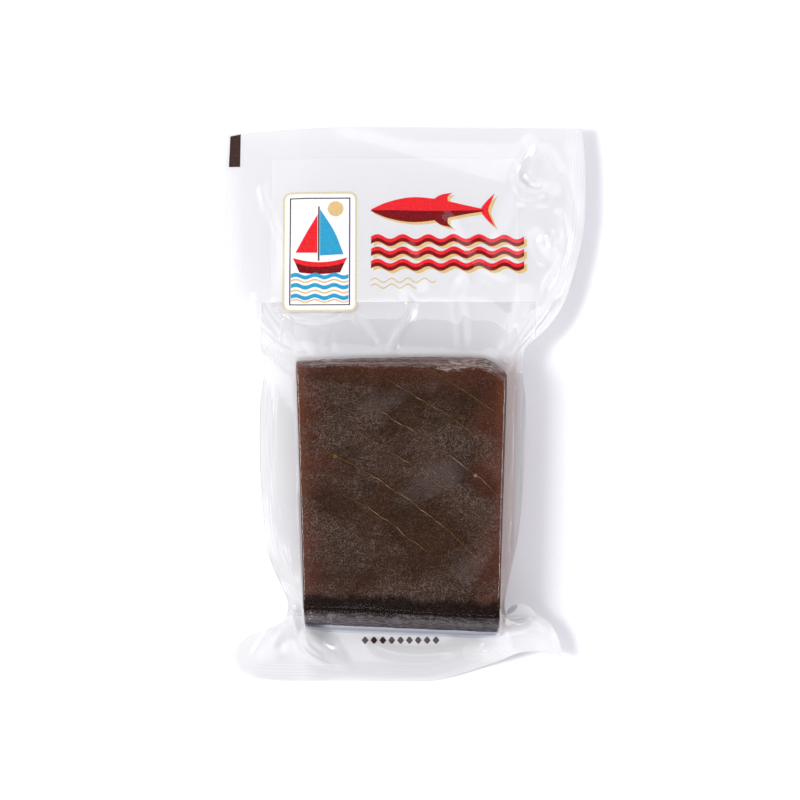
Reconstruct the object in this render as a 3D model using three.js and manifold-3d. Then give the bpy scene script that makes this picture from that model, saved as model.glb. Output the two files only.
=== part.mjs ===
// A retail block of mojama, which is salted and dried tuna loin, sealed in a clear vacuum pouch that lies
// on its back. Millimetres, +Z up, +Y towards the wide head of the pouch. The origin is on the surface that
// the block stands on, under the middle of the pouch.
import * as THREE from "three";
import Module from "manifold-3d";

// The block of fish
const BLOCK_THICK = 30;
const BLOCK_MID_X = -1;
const HALF_NEAR = 34.7; // half width at the tail end of the pouch
const HALF_FAR = 38; // half width at the head end, because the loin tapers
const NEAR_Y = -83;
const FAR_Y = 12.6;
const NEAR_SKEW = -1.5; // the near cut isn't square: its right corner lies this much lower than its middle
const FAR_BOW = 0.8; // the far cut bulges in the middle by this much
const FAR_SKEW = 0.65; // and its right end lies this much further out than its middle
const WORN_LENGTH = 9; // its right corner is worn away over this length
const WORN_DEPTH = 5.5; // down to this depth
const WORN_POWER = 1.6; // in a curve of this power
const SIDE_ROUND = 1.3;
const NEAR_ROUND = 3.4;
const FAR_ROUND_LEFT = 3.6; // the far top edge is worn to a ledge, which is broader at the right
const FAR_ROUND_RIGHT = 6.2;
const CORNER_POWER = 4; // upright corners are squarer than round ones, for which this would be 2
const BASE_CHAMFER = 0.6;

// The pouch, whose two films are drawn thicker than real film so that they can be handled
const FLANGE_THICK = 0.8;
const GAP = 0.35; // clearance between fish and film
const SKIN = 0.9; // from the fish to the outer face of the film
const SIDE_WALL = 3.2; // beside the block the front film comes down within this distance
const HEAD_TENT = 25; // beyond the far end it slopes down over this distance
const NEAR_WALL = 1.8; // at the near end it drops straight to the tail
const SIDE_SKIRT = 4.5; // the same three distances for the back film, from the table up
const HEAD_SKIRT = 20;
const NEAR_SKIRT = 2;

// The pouch's rim: points X, Y and height of the seam, from the tail to the head
const LEFT_TAIL = [
  [-58.9, -98.2, 1],
  [-61.4, -94.2, 1.2],
  [-60.4, -90.2, 1.5],
  [-56.8, -86, 2.4],
  [-48.7, -83, 4.2],
  [-42.2, -80.4, 7],
];
const LEFT_SIDE = [
  [-42.2, -80.4, 7],
  [-41.8, -74, 9.6],
  [-44.6, -67.7, 11.8],
  [-48.9, -57, 13.5],
  [-51.2, -37.5, 14.5],
  [-52.4, -18.5, 14.5],
  [-52, -1, 14.5],
  [-50.5, 9.4, 13.8],
];
const LEFT_HEAD = [
  [-50.5, 9.4, 13.8],
  [-51.2, 16, 12.5],
  [-56.7, 22.2, 11],
  [-62.3, 29.4, 9.4],
  [-65.2, 37.5, 8],
  [-66, 54.5, 6],
  [-66.3, 78.5, 3.4],
  [-65.4, 100.5, 2],
];
const RIGHT_TAIL = [
  [56.3, -94, 9.4],
  [55, -87, 9.5],
  [51.6, -81.6, 10],
  [45, -78.8, 11.4],
  [36.8, -80.3, 12.6],
];
const RIGHT_SIDE = [
  [36.8, -80.3, 12.6],
  [35.9, -76, 13.4],
  [37.3, -67, 14],
  [40.3, -53.5, 14.5],
  [42.5, -34.5, 14.5],
  [43.6, -13.5, 14.5],
  [43.7, -1, 14.5],
  [42.6, 9.4, 14.5],
];
const RIGHT_HEAD = [
  [42.6, 9.4, 14.5],
  [43.4, 17.3, 14],
  [51.1, 24.7, 12.7],
  [57.5, 34, 11.6],
  [62.5, 49, 10.5],
  [65.5, 63.5, 10],
  [66.3, 87, 10],
  [65.2, 100.9, 10],
];
const TAIL_EDGE = [
  [-58.9, -98.2, 1],
  [-54.1, -100.3, 0.9],
  [-46.3, -101.3, 0.8],
  [-19.6, -101.4, 0.7],
  [10, -101.4, 0.8],
  [18, -99.8, 1.4],
  [27.2, -96.9, 3],
  [34.7, -94.5, 5.2],
  [41.2, -92.2, 7.8],
  [48.7, -91.9, 9.1],
  [56.3, -94, 9.4],
];
const HEAD_EDGE = [
  [-65.4, 100.5, 2],
  [-51.7, 101.1, 5],
  [-37.8, 101.3, 8],
  [-23.9, 101.6, 9.3],
  [10, 101.4, 9.5],
  [40, 101.2, 9.6],
  [65.2, 100.9, 10],
];
// Height of the seam surface along the block's four sides, where it is hidden behind the walls
const SEAM_SIDE = 14.5;
const SEAM_FAR = 12.5;
const SEAM_NEAR = 1.6;
const NEAR_CORNER = 8;

// Folds that run out from the block's corners: start X and Y, end X and Y, height, half width
const FOLDS = [
  [-38, -79, -56, -95, 3.2, 3.4],
  [-37, -83, -20, -97, 1.2, 2.6],
  [35, -84, 41, -92, 1.6, 2.4],
  [36, -82, 50, -82, 1.5, 2.2],
  [-38, 13, -58, 25, 1.6, 3],
  [-37, 14, -44, 37, 1.2, 3],
  [37, 13, 52, 30, 1.8, 2.6],
  [36, 14, 43, 39, 1.4, 3],
  [-46, 38, -30, 92, 0.9, 5],
  [38, 60, 52, 96, -1, 5],
];

// Cells of the pouch, each list as shares of its span; they crowd where the film turns
const OUTWARD = [0, 0.03, 0.07, 0.12, 0.19, 0.28, 0.4, 0.55, 0.7, 0.85, 1];
const HEADWARD = [0, 0.018, 0.04, 0.07, 0.1, 0.14, 0.19, 0.25, 0.32, 0.4, 0.49, 0.59, 0.69, 0.8, 0.9, 1];
const ROLL = [0, 0.3, 0.6, 0.85, 1]; // over a rounded edge, as shares of a right angle

const clamp = THREE.MathUtils.clamp;
const mix = THREE.MathUtils.lerp;
const { hypot, sin, sqrt, max, min, PI } = Math;

const MID_Y = (NEAR_Y + FAR_Y) / 2;
const HALF_LENGTH = (FAR_Y - NEAR_Y) / 2;
const halfWidth = (y) => mix(HALF_NEAR, HALF_FAR, clamp((y - NEAR_Y) / (FAR_Y - NEAR_Y), 0, 1));
const acrossShare = (x) => clamp((x - BLOCK_MID_X) / HALF_NEAR, -1.15, 1.15);
const farRound = (x) => mix(FAR_ROUND_LEFT, FAR_ROUND_RIGHT, clamp((acrossShare(x) + 1) / 2, 0, 1));
const endRoundAt = (x, isFar) => (isFar ? farRound(x) : NEAR_ROUND);
const nearEnd = (x) => NEAR_Y + NEAR_SKEW * acrossShare(x);
const squarer = (a, b) => (a ** CORNER_POWER + b ** CORNER_POWER) ** (1 / CORNER_POWER);

function farEnd(x) {
  const share = acrossShare(x);
  const worn = clamp((x - BLOCK_MID_X - HALF_FAR) / WORN_LENGTH + 1, 0, 1) ** WORN_POWER;
  return FAR_Y - FAR_BOW * share ** 2 + FAR_SKEW * share - WORN_DEPTH * worn;
}

// Long shallow swells on the top face, which fade out towards its edges
function swell(x, y) {
  const inner = 1 - max(((x - BLOCK_MID_X) / halfWidth(y)) ** 4, ((y - MID_Y) / HALF_LENGTH) ** 6);
  const waves = 0.4 * sin(0.075 * x + 0.05 * y + 0.6) + 0.25 * sin(0.16 * y - 0.09 * x);
  return clamp(inner, 0, 1) * (waves - 0.3);
}

// Where a point is with respect to the block grown by some distance: reach is below 1 on its top face, 1 on
// its outline and more outside. Endness is 1 straight past an end, 0 straight past a side.
function locate(x, y, grown) {
  const isFar = y > MID_Y;
  const endRound = endRoundAt(x, isFar);
  const inSide = halfWidth(y) - Math.abs(x - BLOCK_MID_X);
  const inEnd = isFar ? farEnd(x) - y : y - nearEnd(x);
  const a = max(0, (SIDE_ROUND - inSide) / (SIDE_ROUND + grown));
  const b = max(0, (endRound - inEnd) / (endRound + grown));
  const reach = squarer(a, b);
  const endness = reach > 0 ? (b / hypot(a, b)) ** 2 : 0;
  return { reach, endness, isFar, round: mix(SIDE_ROUND, endRound, endness) };
}

const clearance = ({ reach, round }) => max(0, reach - 1) * (round + SKIN);

function topOfBlock(x, y, grown) {
  const { reach, round } = locate(x, y, grown);
  const fall = (round + grown) * (1 - sqrt(1 - min(reach, 1) ** 2));
  return BLOCK_THICK + grown + swell(x, y) - fall;
}

// Draws the cells in a corner of the grown outline from their square onto a rounded one
function roundCorner(x, y, grown) {
  const isFar = y > MID_Y;
  const [side, end] = [x < BLOCK_MID_X ? -1 : 1, isFar ? 1 : -1];
  const endRound = endRoundAt(x, isFar);
  const cornerX = BLOCK_MID_X + side * (halfWidth(y) - SIDE_ROUND);
  const cornerY = isFar ? farEnd(x) - endRound : nearEnd(x) + NEAR_ROUND;
  const a = (side * (x - cornerX)) / (SIDE_ROUND + grown);
  const b = (end * (y - cornerY)) / (endRound + grown);
  if (a <= 0 || b <= 0) return [x, y];
  const pull = max(a, b) / squarer(a, b);
  return [cornerX + side * a * pull * (SIDE_ROUND + grown), cornerY + end * b * pull * (endRound + grown)];
}

// A point on the block's plan, from shares of the grown width and length
function planPoint(s, t, grown) {
  const y0 = mix(NEAR_Y - grown, FAR_Y + grown, t);
  const x = BLOCK_MID_X + (2 * s - 1) * (halfWidth(y0) + grown);
  const toFar = (y0 - NEAR_Y) / (FAR_Y - NEAR_Y);
  const y = y0 + (nearEnd(x) - NEAR_Y) * (1 - toFar) + (farEnd(x) - FAR_Y) * toFar;
  return roundCorner(x, y, grown);
}

// Shares from 0 to 1 with a rolled edge of cells at both ends
function rolledShares(lowRound, highRound, span, count) {
  const [low, high] = [lowRound / span, highRound / span];
  const list = ROLL.map((t) => low * (1 - sin((PI / 2) * (1 - t))));
  for (let i = 1; i < count; i++) list.push(mix(low, 1 - high, i / count));
  return list.concat(ROLL.map((t) => 1 - high * (1 - sin((PI / 2) * t))));
}
const sharesAcross = (grown, count) =>
  rolledShares(SIDE_ROUND + grown, SIDE_ROUND + grown, HALF_NEAR + HALF_FAR + 2 * grown, count);
const sharesAlong = (grown, count) =>
  rolledShares(NEAR_ROUND + grown, FAR_ROUND_RIGHT + grown, FAR_Y - NEAR_Y + 2 * grown, count);

// The block as a closed mesh. Grown and with a deep base it is the cavity that the pouch needs.
function blockSurface(grown, base, chamfer) {
  const us = sharesAcross(grown, 12);
  const vs = sharesAlong(grown, 16);
  const [columns, rows] = [us.length, vs.length];
  const places = [];
  const triangles = [];
  const quad = (a, b, c, d) => triangles.push(a, b, c, a, c, d);
  const isOuter = (i, j) => i === 0 || j === 0 || i === columns - 1 || j === rows - 1;
  for (let j = 0; j < rows; j++) {
    for (let i = 0; i < columns; i++) {
      const [x, y] = planPoint(us[i], vs[j], grown);
      const { round } = locate(x, y, grown);
      places.push(x, y, isOuter(i, j) ? BLOCK_THICK - round : topOfBlock(x, y, grown));
    }
  }
  const at = (i, j) => j * columns + i;
  for (let j = 0; j + 1 < rows; j++) {
    for (let i = 0; i + 1 < columns; i++) quad(at(i, j), at(i + 1, j), at(i + 1, j + 1), at(i, j + 1));
  }
  // The underside has the same cells, drawn in by the chamfer
  const under = places.length / 3;
  for (let j = 0; j < rows; j++) {
    for (let i = 0; i < columns; i++) {
      const [x, y] = [places[3 * at(i, j)], places[3 * at(i, j) + 1]];
      const [inX, inY] = [1 - chamfer / HALF_FAR, 1 - chamfer / HALF_LENGTH];
      places.push(BLOCK_MID_X + (x - BLOCK_MID_X) * inX, MID_Y + (y - MID_Y) * inY, base);
    }
  }
  for (let j = 0; j + 1 < rows; j++) {
    for (let i = 0; i + 1 < columns; i++) {
      quad(under + at(i, j), under + at(i, j + 1), under + at(i + 1, j + 1), under + at(i + 1, j));
    }
  }
  // The walls, in two rings with the chamfer between the lower one and the underside
  const ring = [];
  for (let i = 0; i < columns - 1; i++) ring.push(at(i, 0));
  for (let j = 0; j < rows - 1; j++) ring.push(at(columns - 1, j));
  for (let i = columns - 1; i > 0; i--) ring.push(at(i, rows - 1));
  for (let j = rows - 1; j > 0; j--) ring.push(at(0, j));
  const rings = [ring];
  for (const share of chamfer > 0 ? [0.5, 0] : [0.5]) {
    const start = places.length / 3;
    for (const k of ring) {
      const [x, y, z] = places.slice(3 * k, 3 * k + 3);
      places.push(x, y, mix(base + chamfer, z, share));
    }
    rings.push(ring.map((_, n) => start + n));
  }
  rings.push(ring.map((k) => under + k));
  for (let r = 0; r + 1 < rings.length; r++) {
    const [high, low] = [rings[r], rings[r + 1]];
    for (let n = 0; n < ring.length; n++) {
      const next = (n + 1) % ring.length;
      quad(high[n], low[n], low[next], high[next]);
    }
  }
  return { places, triangles };
}

// A smooth curve through points, read at even shares of its length
function curveThrough(points) {
  const knots = points.map((p) => new THREE.Vector3(...p));
  const curve = new THREE.CatmullRomCurve3(knots, false, "centripetal");
  curve.arcLengthDivisions = 400;
  return (t) => curve.getPointAt(clamp(t, 0, 1));
}
const part = (curve, from, to) => (t) => curve(mix(from, to, t));

// A patch stretched between four curves; the first two run along its lower and upper sides
function patchBetween(low, high, left, right) {
  return (s, t) => {
    const point = low(s).clone().multiplyScalar(1 - t).addScaledVector(high(s), t);
    point.addScaledVector(left(t), 1 - s).addScaledVector(right(t), s);
    point.addScaledVector(low(0), -(1 - s) * (1 - t)).addScaledVector(low(1), -s * (1 - t));
    return point.addScaledVector(high(0), -(1 - s) * t).addScaledVector(high(1), -s * t);
  };
}

// The outline of the block's skin, where the pouch's walls begin, with the height of the seam behind them
function skinPoint(s, t) {
  const [x, y] = planPoint(s, t, SKIN);
  const atSide = mix(mix(SEAM_SIDE, NEAR_CORNER, max(0, 1 - 7 * t)), SEAM_FAR, max(0, 5 * t - 4));
  const corner = THREE.MathUtils.smoothstep(Math.abs(2 * s - 1), 0.72, 1);
  const atEnd = t > 0.5 ? SEAM_FAR : mix(SEAM_NEAR, NEAR_CORNER, corner);
  return new THREE.Vector3(x, y, s === 0 || s === 1 ? atSide : atEnd);
}
const straight = (from, to) => (t) => from.clone().lerp(to, t);

// The seam surface, in nine patches: three across, and three from tail to head
function seamPatches() {
  const tail = curveThrough(TAIL_EDGE);
  const head = curveThrough(HEAD_EDGE);
  const [leftTail, leftSide, leftHead] = [LEFT_TAIL, LEFT_SIDE, LEFT_HEAD].map(curveThrough);
  const [rightTail, rightSide, rightHead] = [RIGHT_TAIL, RIGHT_SIDE, RIGHT_HEAD].map(curveThrough);
  const [skinLeft, skinRight] = [(t) => skinPoint(0, t), (t) => skinPoint(1, t)];
  const [skinNear, skinFar] = [(s) => skinPoint(s, 0), (s) => skinPoint(s, 1)];
  const [tailA, tailB, headA, headB] = [0.2, 0.8, 0.215, 0.785];
  const lowLeft = straight(tail(tailA), skinLeft(0));
  const lowRight = straight(tail(tailB), skinRight(0));
  const highLeft = straight(skinLeft(1), head(headA));
  const highRight = straight(skinRight(1), head(headB));
  const nearLeft = straight(leftTail(1), skinLeft(0));
  const nearRight = straight(skinRight(0), rightTail(1));
  const farLeft = straight(leftSide(1), skinLeft(1));
  const farRight = straight(skinRight(1), rightSide(1));
  return [
    [
      patchBetween(part(tail, 0, tailA), nearLeft, leftTail, lowLeft),
      patchBetween(part(tail, tailA, tailB), skinNear, lowLeft, lowRight),
      patchBetween(part(tail, tailB, 1), nearRight, lowRight, rightTail),
    ],
    [
      patchBetween(nearLeft, farLeft, leftSide, skinLeft),
      skinPoint,
      patchBetween(nearRight, farRight, skinRight, rightSide),
    ],
    [
      patchBetween(farLeft, part(head, 0, headA), leftHead, highLeft),
      patchBetween(skinFar, part(head, headA, headB), highLeft, highRight),
      patchBetween(farRight, part(head, headB, 1), highRight, rightHead),
    ],
  ];
}

function foldHeight(x, y) {
  let height = 0;
  for (const [x0, y0, x1, y1, rise, breadth] of FOLDS) {
    const length = hypot(x1 - x0, y1 - y0);
    const along = ((x - x0) * (x1 - x0) + (y - y0) * (y1 - y0)) / length ** 2;
    const off = ((x - x0) * (y1 - y0) - (y - y0) * (x1 - x0)) / length;
    const past = max(-along, along - 1, 0) * length;
    const fade = clamp(1.15 - along, 0, 1);
    height += rise * fade * Math.exp(-((off / breadth) ** 2) - (past / breadth) ** 2);
  }
  return height;
}

// The pouch as one solid between its front and back films
function pouchSurface() {
  const inward = OUTWARD.map((f) => 1 - f).reverse();
  const acrossShares = [inward, sharesAcross(SKIN, 10), OUTWARD];
  const alongShares = [inward, sharesAlong(SKIN, 12), HEADWARD];
  const patches = seamPatches();
  const seam = [];
  alongShares.forEach((ts, row) => {
    ts.slice(row === 0 ? 0 : 1).forEach((t) => {
      const line = [];
      acrossShares.forEach((ss, column) => {
        ss.slice(column === 0 ? 0 : 1).forEach((s) => line.push(patches[row][column](s, t)));
      });
      seam.push(line);
    });
  });
  const [rows, columns] = [seam.length, seam[0].length];
  const places = [];
  for (const isFront of [true, false]) {
    for (const line of seam) {
      // A wall is no wider than the film that is left beside it
      const rooms = [line[0], line[columns - 1]].map(({ x, y }) => clearance(locate(x, y, SKIN)));
      for (const { x, y, z } of line) {
        const place = locate(x, y, SKIN);
        const clear = clearance(place);
        const room = 0.8 * rooms[x < BLOCK_MID_X ? 0 : 1];
        const folded = z + foldHeight(x, y) * clamp(clear / 4, 0, 1);
        const away = (side, near, far) =>
          clamp(clear / mix(min(side, room), place.isFar ? far : near, place.endness), 0, 1);
        if (isFront) {
          const shoulder = place.reach < 1 ? topOfBlock(x, y, SKIN) : BLOCK_THICK - place.round;
          const flange = max(folded + FLANGE_THICK / 2, FLANGE_THICK);
          const wall = flange + (shoulder - flange) * (1 - away(SIDE_WALL, NEAR_WALL, HEAD_TENT)) ** 2;
          places.push(x, y, place.reach < 1 ? shoulder : wall);
        } else {
          const flange = max(folded - FLANGE_THICK / 2, 0);
          places.push(x, y, flange * (1 - (1 - away(SIDE_SKIRT, NEAR_SKIRT, HEAD_SKIRT)) ** 2));
        }
      }
    }
  }
  const triangles = [];
  const back = rows * columns;
  const quad = (a, b, c, d) => triangles.push(a, b, c, a, c, d);
  const at = (i, j) => j * columns + i;
  for (let j = 0; j + 1 < rows; j++) {
    for (let i = 0; i + 1 < columns; i++) {
      quad(at(i, j), at(i + 1, j), at(i + 1, j + 1), at(i, j + 1));
      triangles.push(back + at(i, j), back + at(i + 1, j + 1), back + at(i + 1, j));
      triangles.push(back + at(i, j), back + at(i, j + 1), back + at(i + 1, j + 1));
    }
  }
  const rim = [];
  for (let i = 0; i < columns - 1; i++) rim.push(at(i, 0));
  for (let j = 0; j < rows - 1; j++) rim.push(at(columns - 1, j));
  for (let i = columns - 1; i > 0; i--) rim.push(at(i, rows - 1));
  for (let j = rows - 1; j > 0; j--) rim.push(at(0, j));
  rim.forEach((k, n) => {
    const next = rim[(n + 1) % rim.length];
    quad(k, back + k, back + next, next);
  });
  return { places, triangles };
}

const wasm = await Module();
wasm.setup();
function solid({ places, triangles }) {
  const mesh = new wasm.Mesh({
    numProp: 3,
    vertProperties: new Float32Array(places),
    triVerts: new Uint32Array(triangles),
  });
  return new wasm.Manifold(mesh);
}
function meshOf(name, body, colour, finish) {
  const { vertProperties, triVerts } = body.getMesh();
  const geometry = new THREE.BufferGeometry();
  geometry.setAttribute("position", new THREE.BufferAttribute(new Float32Array(vertProperties), 3));
  geometry.setIndex(Array.from(triVerts));
  geometry.computeVertexNormals();
  const mesh = new THREE.Mesh(geometry, new THREE.MeshStandardMaterial({ color: colour, ...finish }));
  mesh.name = name;
  return mesh;
}

const block = solid(blockSurface(0, 0, BASE_CHAMFER));
const cavity = solid(blockSurface(GAP, -6, 0));
const pouch = solid(pouchSurface()).subtract(cavity);

const group = new THREE.Group();
group.name = "mojama_pack";
group.add(meshOf("mojama_block", block, "#4a352d", { roughness: 0.5 }));
group.add(meshOf("vacuum_pouch", pouch, "#e6e9ee", { roughness: 0.15 }));
export default group;
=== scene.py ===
"""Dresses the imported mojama: meat for the block, printed film for the pouch, a pale floor and soft light."""

import math

import bpy
import numpy as np
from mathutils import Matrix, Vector, noise


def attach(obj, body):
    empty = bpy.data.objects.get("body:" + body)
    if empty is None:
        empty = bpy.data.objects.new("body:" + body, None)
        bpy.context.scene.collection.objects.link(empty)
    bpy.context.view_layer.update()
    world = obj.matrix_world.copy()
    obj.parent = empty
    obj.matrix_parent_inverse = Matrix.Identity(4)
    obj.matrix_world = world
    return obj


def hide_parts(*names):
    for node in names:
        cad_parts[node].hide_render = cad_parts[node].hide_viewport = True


bl_info = {
    "name": "Mojama pack",
    "version": (1, 0, 0),
    "blender": (4, 5, 0),
    "location": "View3D > Sidebar > Mojama",
    "description": "Builds a block of dried tuna in a clear vacuum pouch around its packed frame",
    "category": "Object",
}

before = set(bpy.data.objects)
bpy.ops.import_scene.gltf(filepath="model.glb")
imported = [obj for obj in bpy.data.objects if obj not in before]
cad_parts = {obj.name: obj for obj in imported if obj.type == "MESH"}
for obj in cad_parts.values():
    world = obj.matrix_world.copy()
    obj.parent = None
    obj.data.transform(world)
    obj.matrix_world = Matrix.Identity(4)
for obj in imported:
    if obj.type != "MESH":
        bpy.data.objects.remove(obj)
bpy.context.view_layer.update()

# Millimetres everywhere in this file until a mesh is written
MM = 0.001

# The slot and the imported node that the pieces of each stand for
FISH = ("dried_tuna", "mojama_block")
POUCH = ("clear_film", "vacuum_pouch")

# The block of fish, as the solids have it
BLOCK_THICK = 30.0
BLOCK_MID_X = -1.0
HALF_NEAR = 34.7
HALF_FAR = 38.0
NEAR_Y = -83.0
FAR_Y = 12.6
MID_Y = (NEAR_Y + FAR_Y) / 2
HALF_LENGTH = (FAR_Y - NEAR_Y) / 2
# How its cuts slant and bow, and how the far right corner is worn away
NEAR_SKEW = -1.5
FAR_BOW = 0.8
FAR_SKEW = 0.65
WORN_LENGTH = 9.0
WORN_DEPTH = 5.5
WORN_POWER = 1.6
# How round its top edges are, and the power of the curve round its corners in plan
SIDE_ROUND = 1.3
NEAR_ROUND = 3.4
FAR_ROUND_LEFT = 3.6
FAR_ROUND_RIGHT = 6.2
CORNER_POWER = 4.0
BASE_CHAMFER = 0.6

# The pouch's rim: points X, Y and height of the seam, from the tail to the head
LEFT_TAIL = [
    (-58.9, -98.2, 1), (-61.4, -94.2, 1.2), (-60.4, -90.2, 1.5), (-56.8, -86, 2.4), (-48.7, -83, 4.2),
    (-42.2, -80.4, 7),
]
LEFT_SIDE = [
    (-42.2, -80.4, 7), (-41.8, -74, 9.6), (-44.6, -67.7, 11.8), (-48.9, -57, 13.5), (-51.2, -37.5, 14.5),
    (-52.4, -18.5, 14.5), (-52, -1, 14.5), (-50.5, 9.4, 13.8),
]
LEFT_HEAD = [
    (-50.5, 9.4, 13.8), (-51.2, 16, 12.5), (-56.7, 22.2, 11), (-62.3, 29.4, 9.4), (-65.2, 37.5, 8),
    (-66, 54.5, 6), (-66.3, 78.5, 3.4), (-65.4, 100.5, 2),
]
RIGHT_TAIL = [
    (56.3, -94, 9.4), (55, -87, 9.5), (51.6, -81.6, 10), (45, -78.8, 11.4), (36.8, -80.3, 12.6),
]
RIGHT_SIDE = [
    (36.8, -80.3, 12.6), (35.9, -76, 13.4), (37.3, -67, 14), (40.3, -53.5, 14.5), (42.5, -34.5, 14.5),
    (43.6, -13.5, 14.5), (43.7, -1, 14.5), (42.6, 9.4, 14.5),
]
RIGHT_HEAD = [
    (42.6, 9.4, 14.5), (43.4, 17.3, 14), (51.1, 24.7, 12.7), (57.5, 34, 11.6), (62.5, 49, 10.5),
    (65.5, 63.5, 10), (66.3, 87, 10), (65.2, 100.9, 10),
]
TAIL_EDGE = [
    (-58.9, -98.2, 1), (-54.1, -100.3, 0.9), (-46.3, -101.3, 0.8), (-19.6, -101.4, 0.7), (10, -101.4, 0.8),
    (18, -99.8, 1.4), (27.2, -96.9, 3), (34.7, -94.5, 5.2), (41.2, -92.2, 7.8), (48.7, -91.9, 9.1),
    (56.3, -94, 9.4),
]
HEAD_EDGE = [
    (-65.4, 100.5, 2), (-51.7, 101.1, 5), (-37.8, 101.3, 8), (-23.9, 101.6, 9.3), (10, 101.4, 9.5),
    (40, 101.2, 9.6), (65.2, 100.9, 10),
]
# Heights of the seam behind the block: at its sides, its far and near end and its near corners
SEAM_SIDE = 14.5
SEAM_FAR = 12.5
SEAM_NEAR = 1.6
NEAR_CORNER = 8.0
# The heat seal and the ribs in it
SEAL_WIDTH = 6.5
RIB_SPACING = 1.1

# How the films come off the block: distances in which each gets to the seam
LEFT_WALL = 1.0
RIGHT_WALL = 3.0
HEAD_TENT = 25.0
NEAR_WALL = 0.5
HEAD_SKIRT = 3.5
NEAR_SKIRT = 1.2
WALL_ROOM = 0.8  # share of the margin that a side's wall may take up
CREASE_START = 4  # from the block to where creases have their full height
FILM_OFF = 0.35  # from the fish to the film
LEAST = 0.05  # for walls and gaps, so that none is nothing
SEAM_THICK = 0.3
FILM_IOR = 1.53  # of polyamide
# Shares of the tail's and the head's edge to which the block's corners are tied
TAIL_TIES = (0.2, 0.8)
HEAD_TIES = (0.215, 0.785)

# Folds from the block's corners and over the head: start X and Y, end X and Y, height, half width
FOLDS = [
    (-38, -79, -56, -95, 3.2, 3.4),
    (-37, -83, -20, -97, 1.2, 2.6),
    (35, -84, 41, -92, 0.7, 2.8),
    (36, -82, 50, -82, 1.5, 2.2),
    (-38, 13, -58, 25, 1.6, 3),
    (-37, 14, -44, 37, 1.2, 3),
    (37, 13, 52, 30, 1.8, 2.6),
    (36, 14, 43, 39, 1.4, 3),
    (-46, 38, -30, 92, 0.9, 5),
    (38, 60, 52, 96, -1, 5),
]

# The straight crease across the head, how steeply the film leans down beyond it, and the lowest and highest Y
# between which it does
DROOP_LINE = ((-24.5, 100.8), (29.7, 82.2))
DROOP_SLOPE = 0.035
DROOP_START = 60
DROOP_END = 95.5

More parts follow.
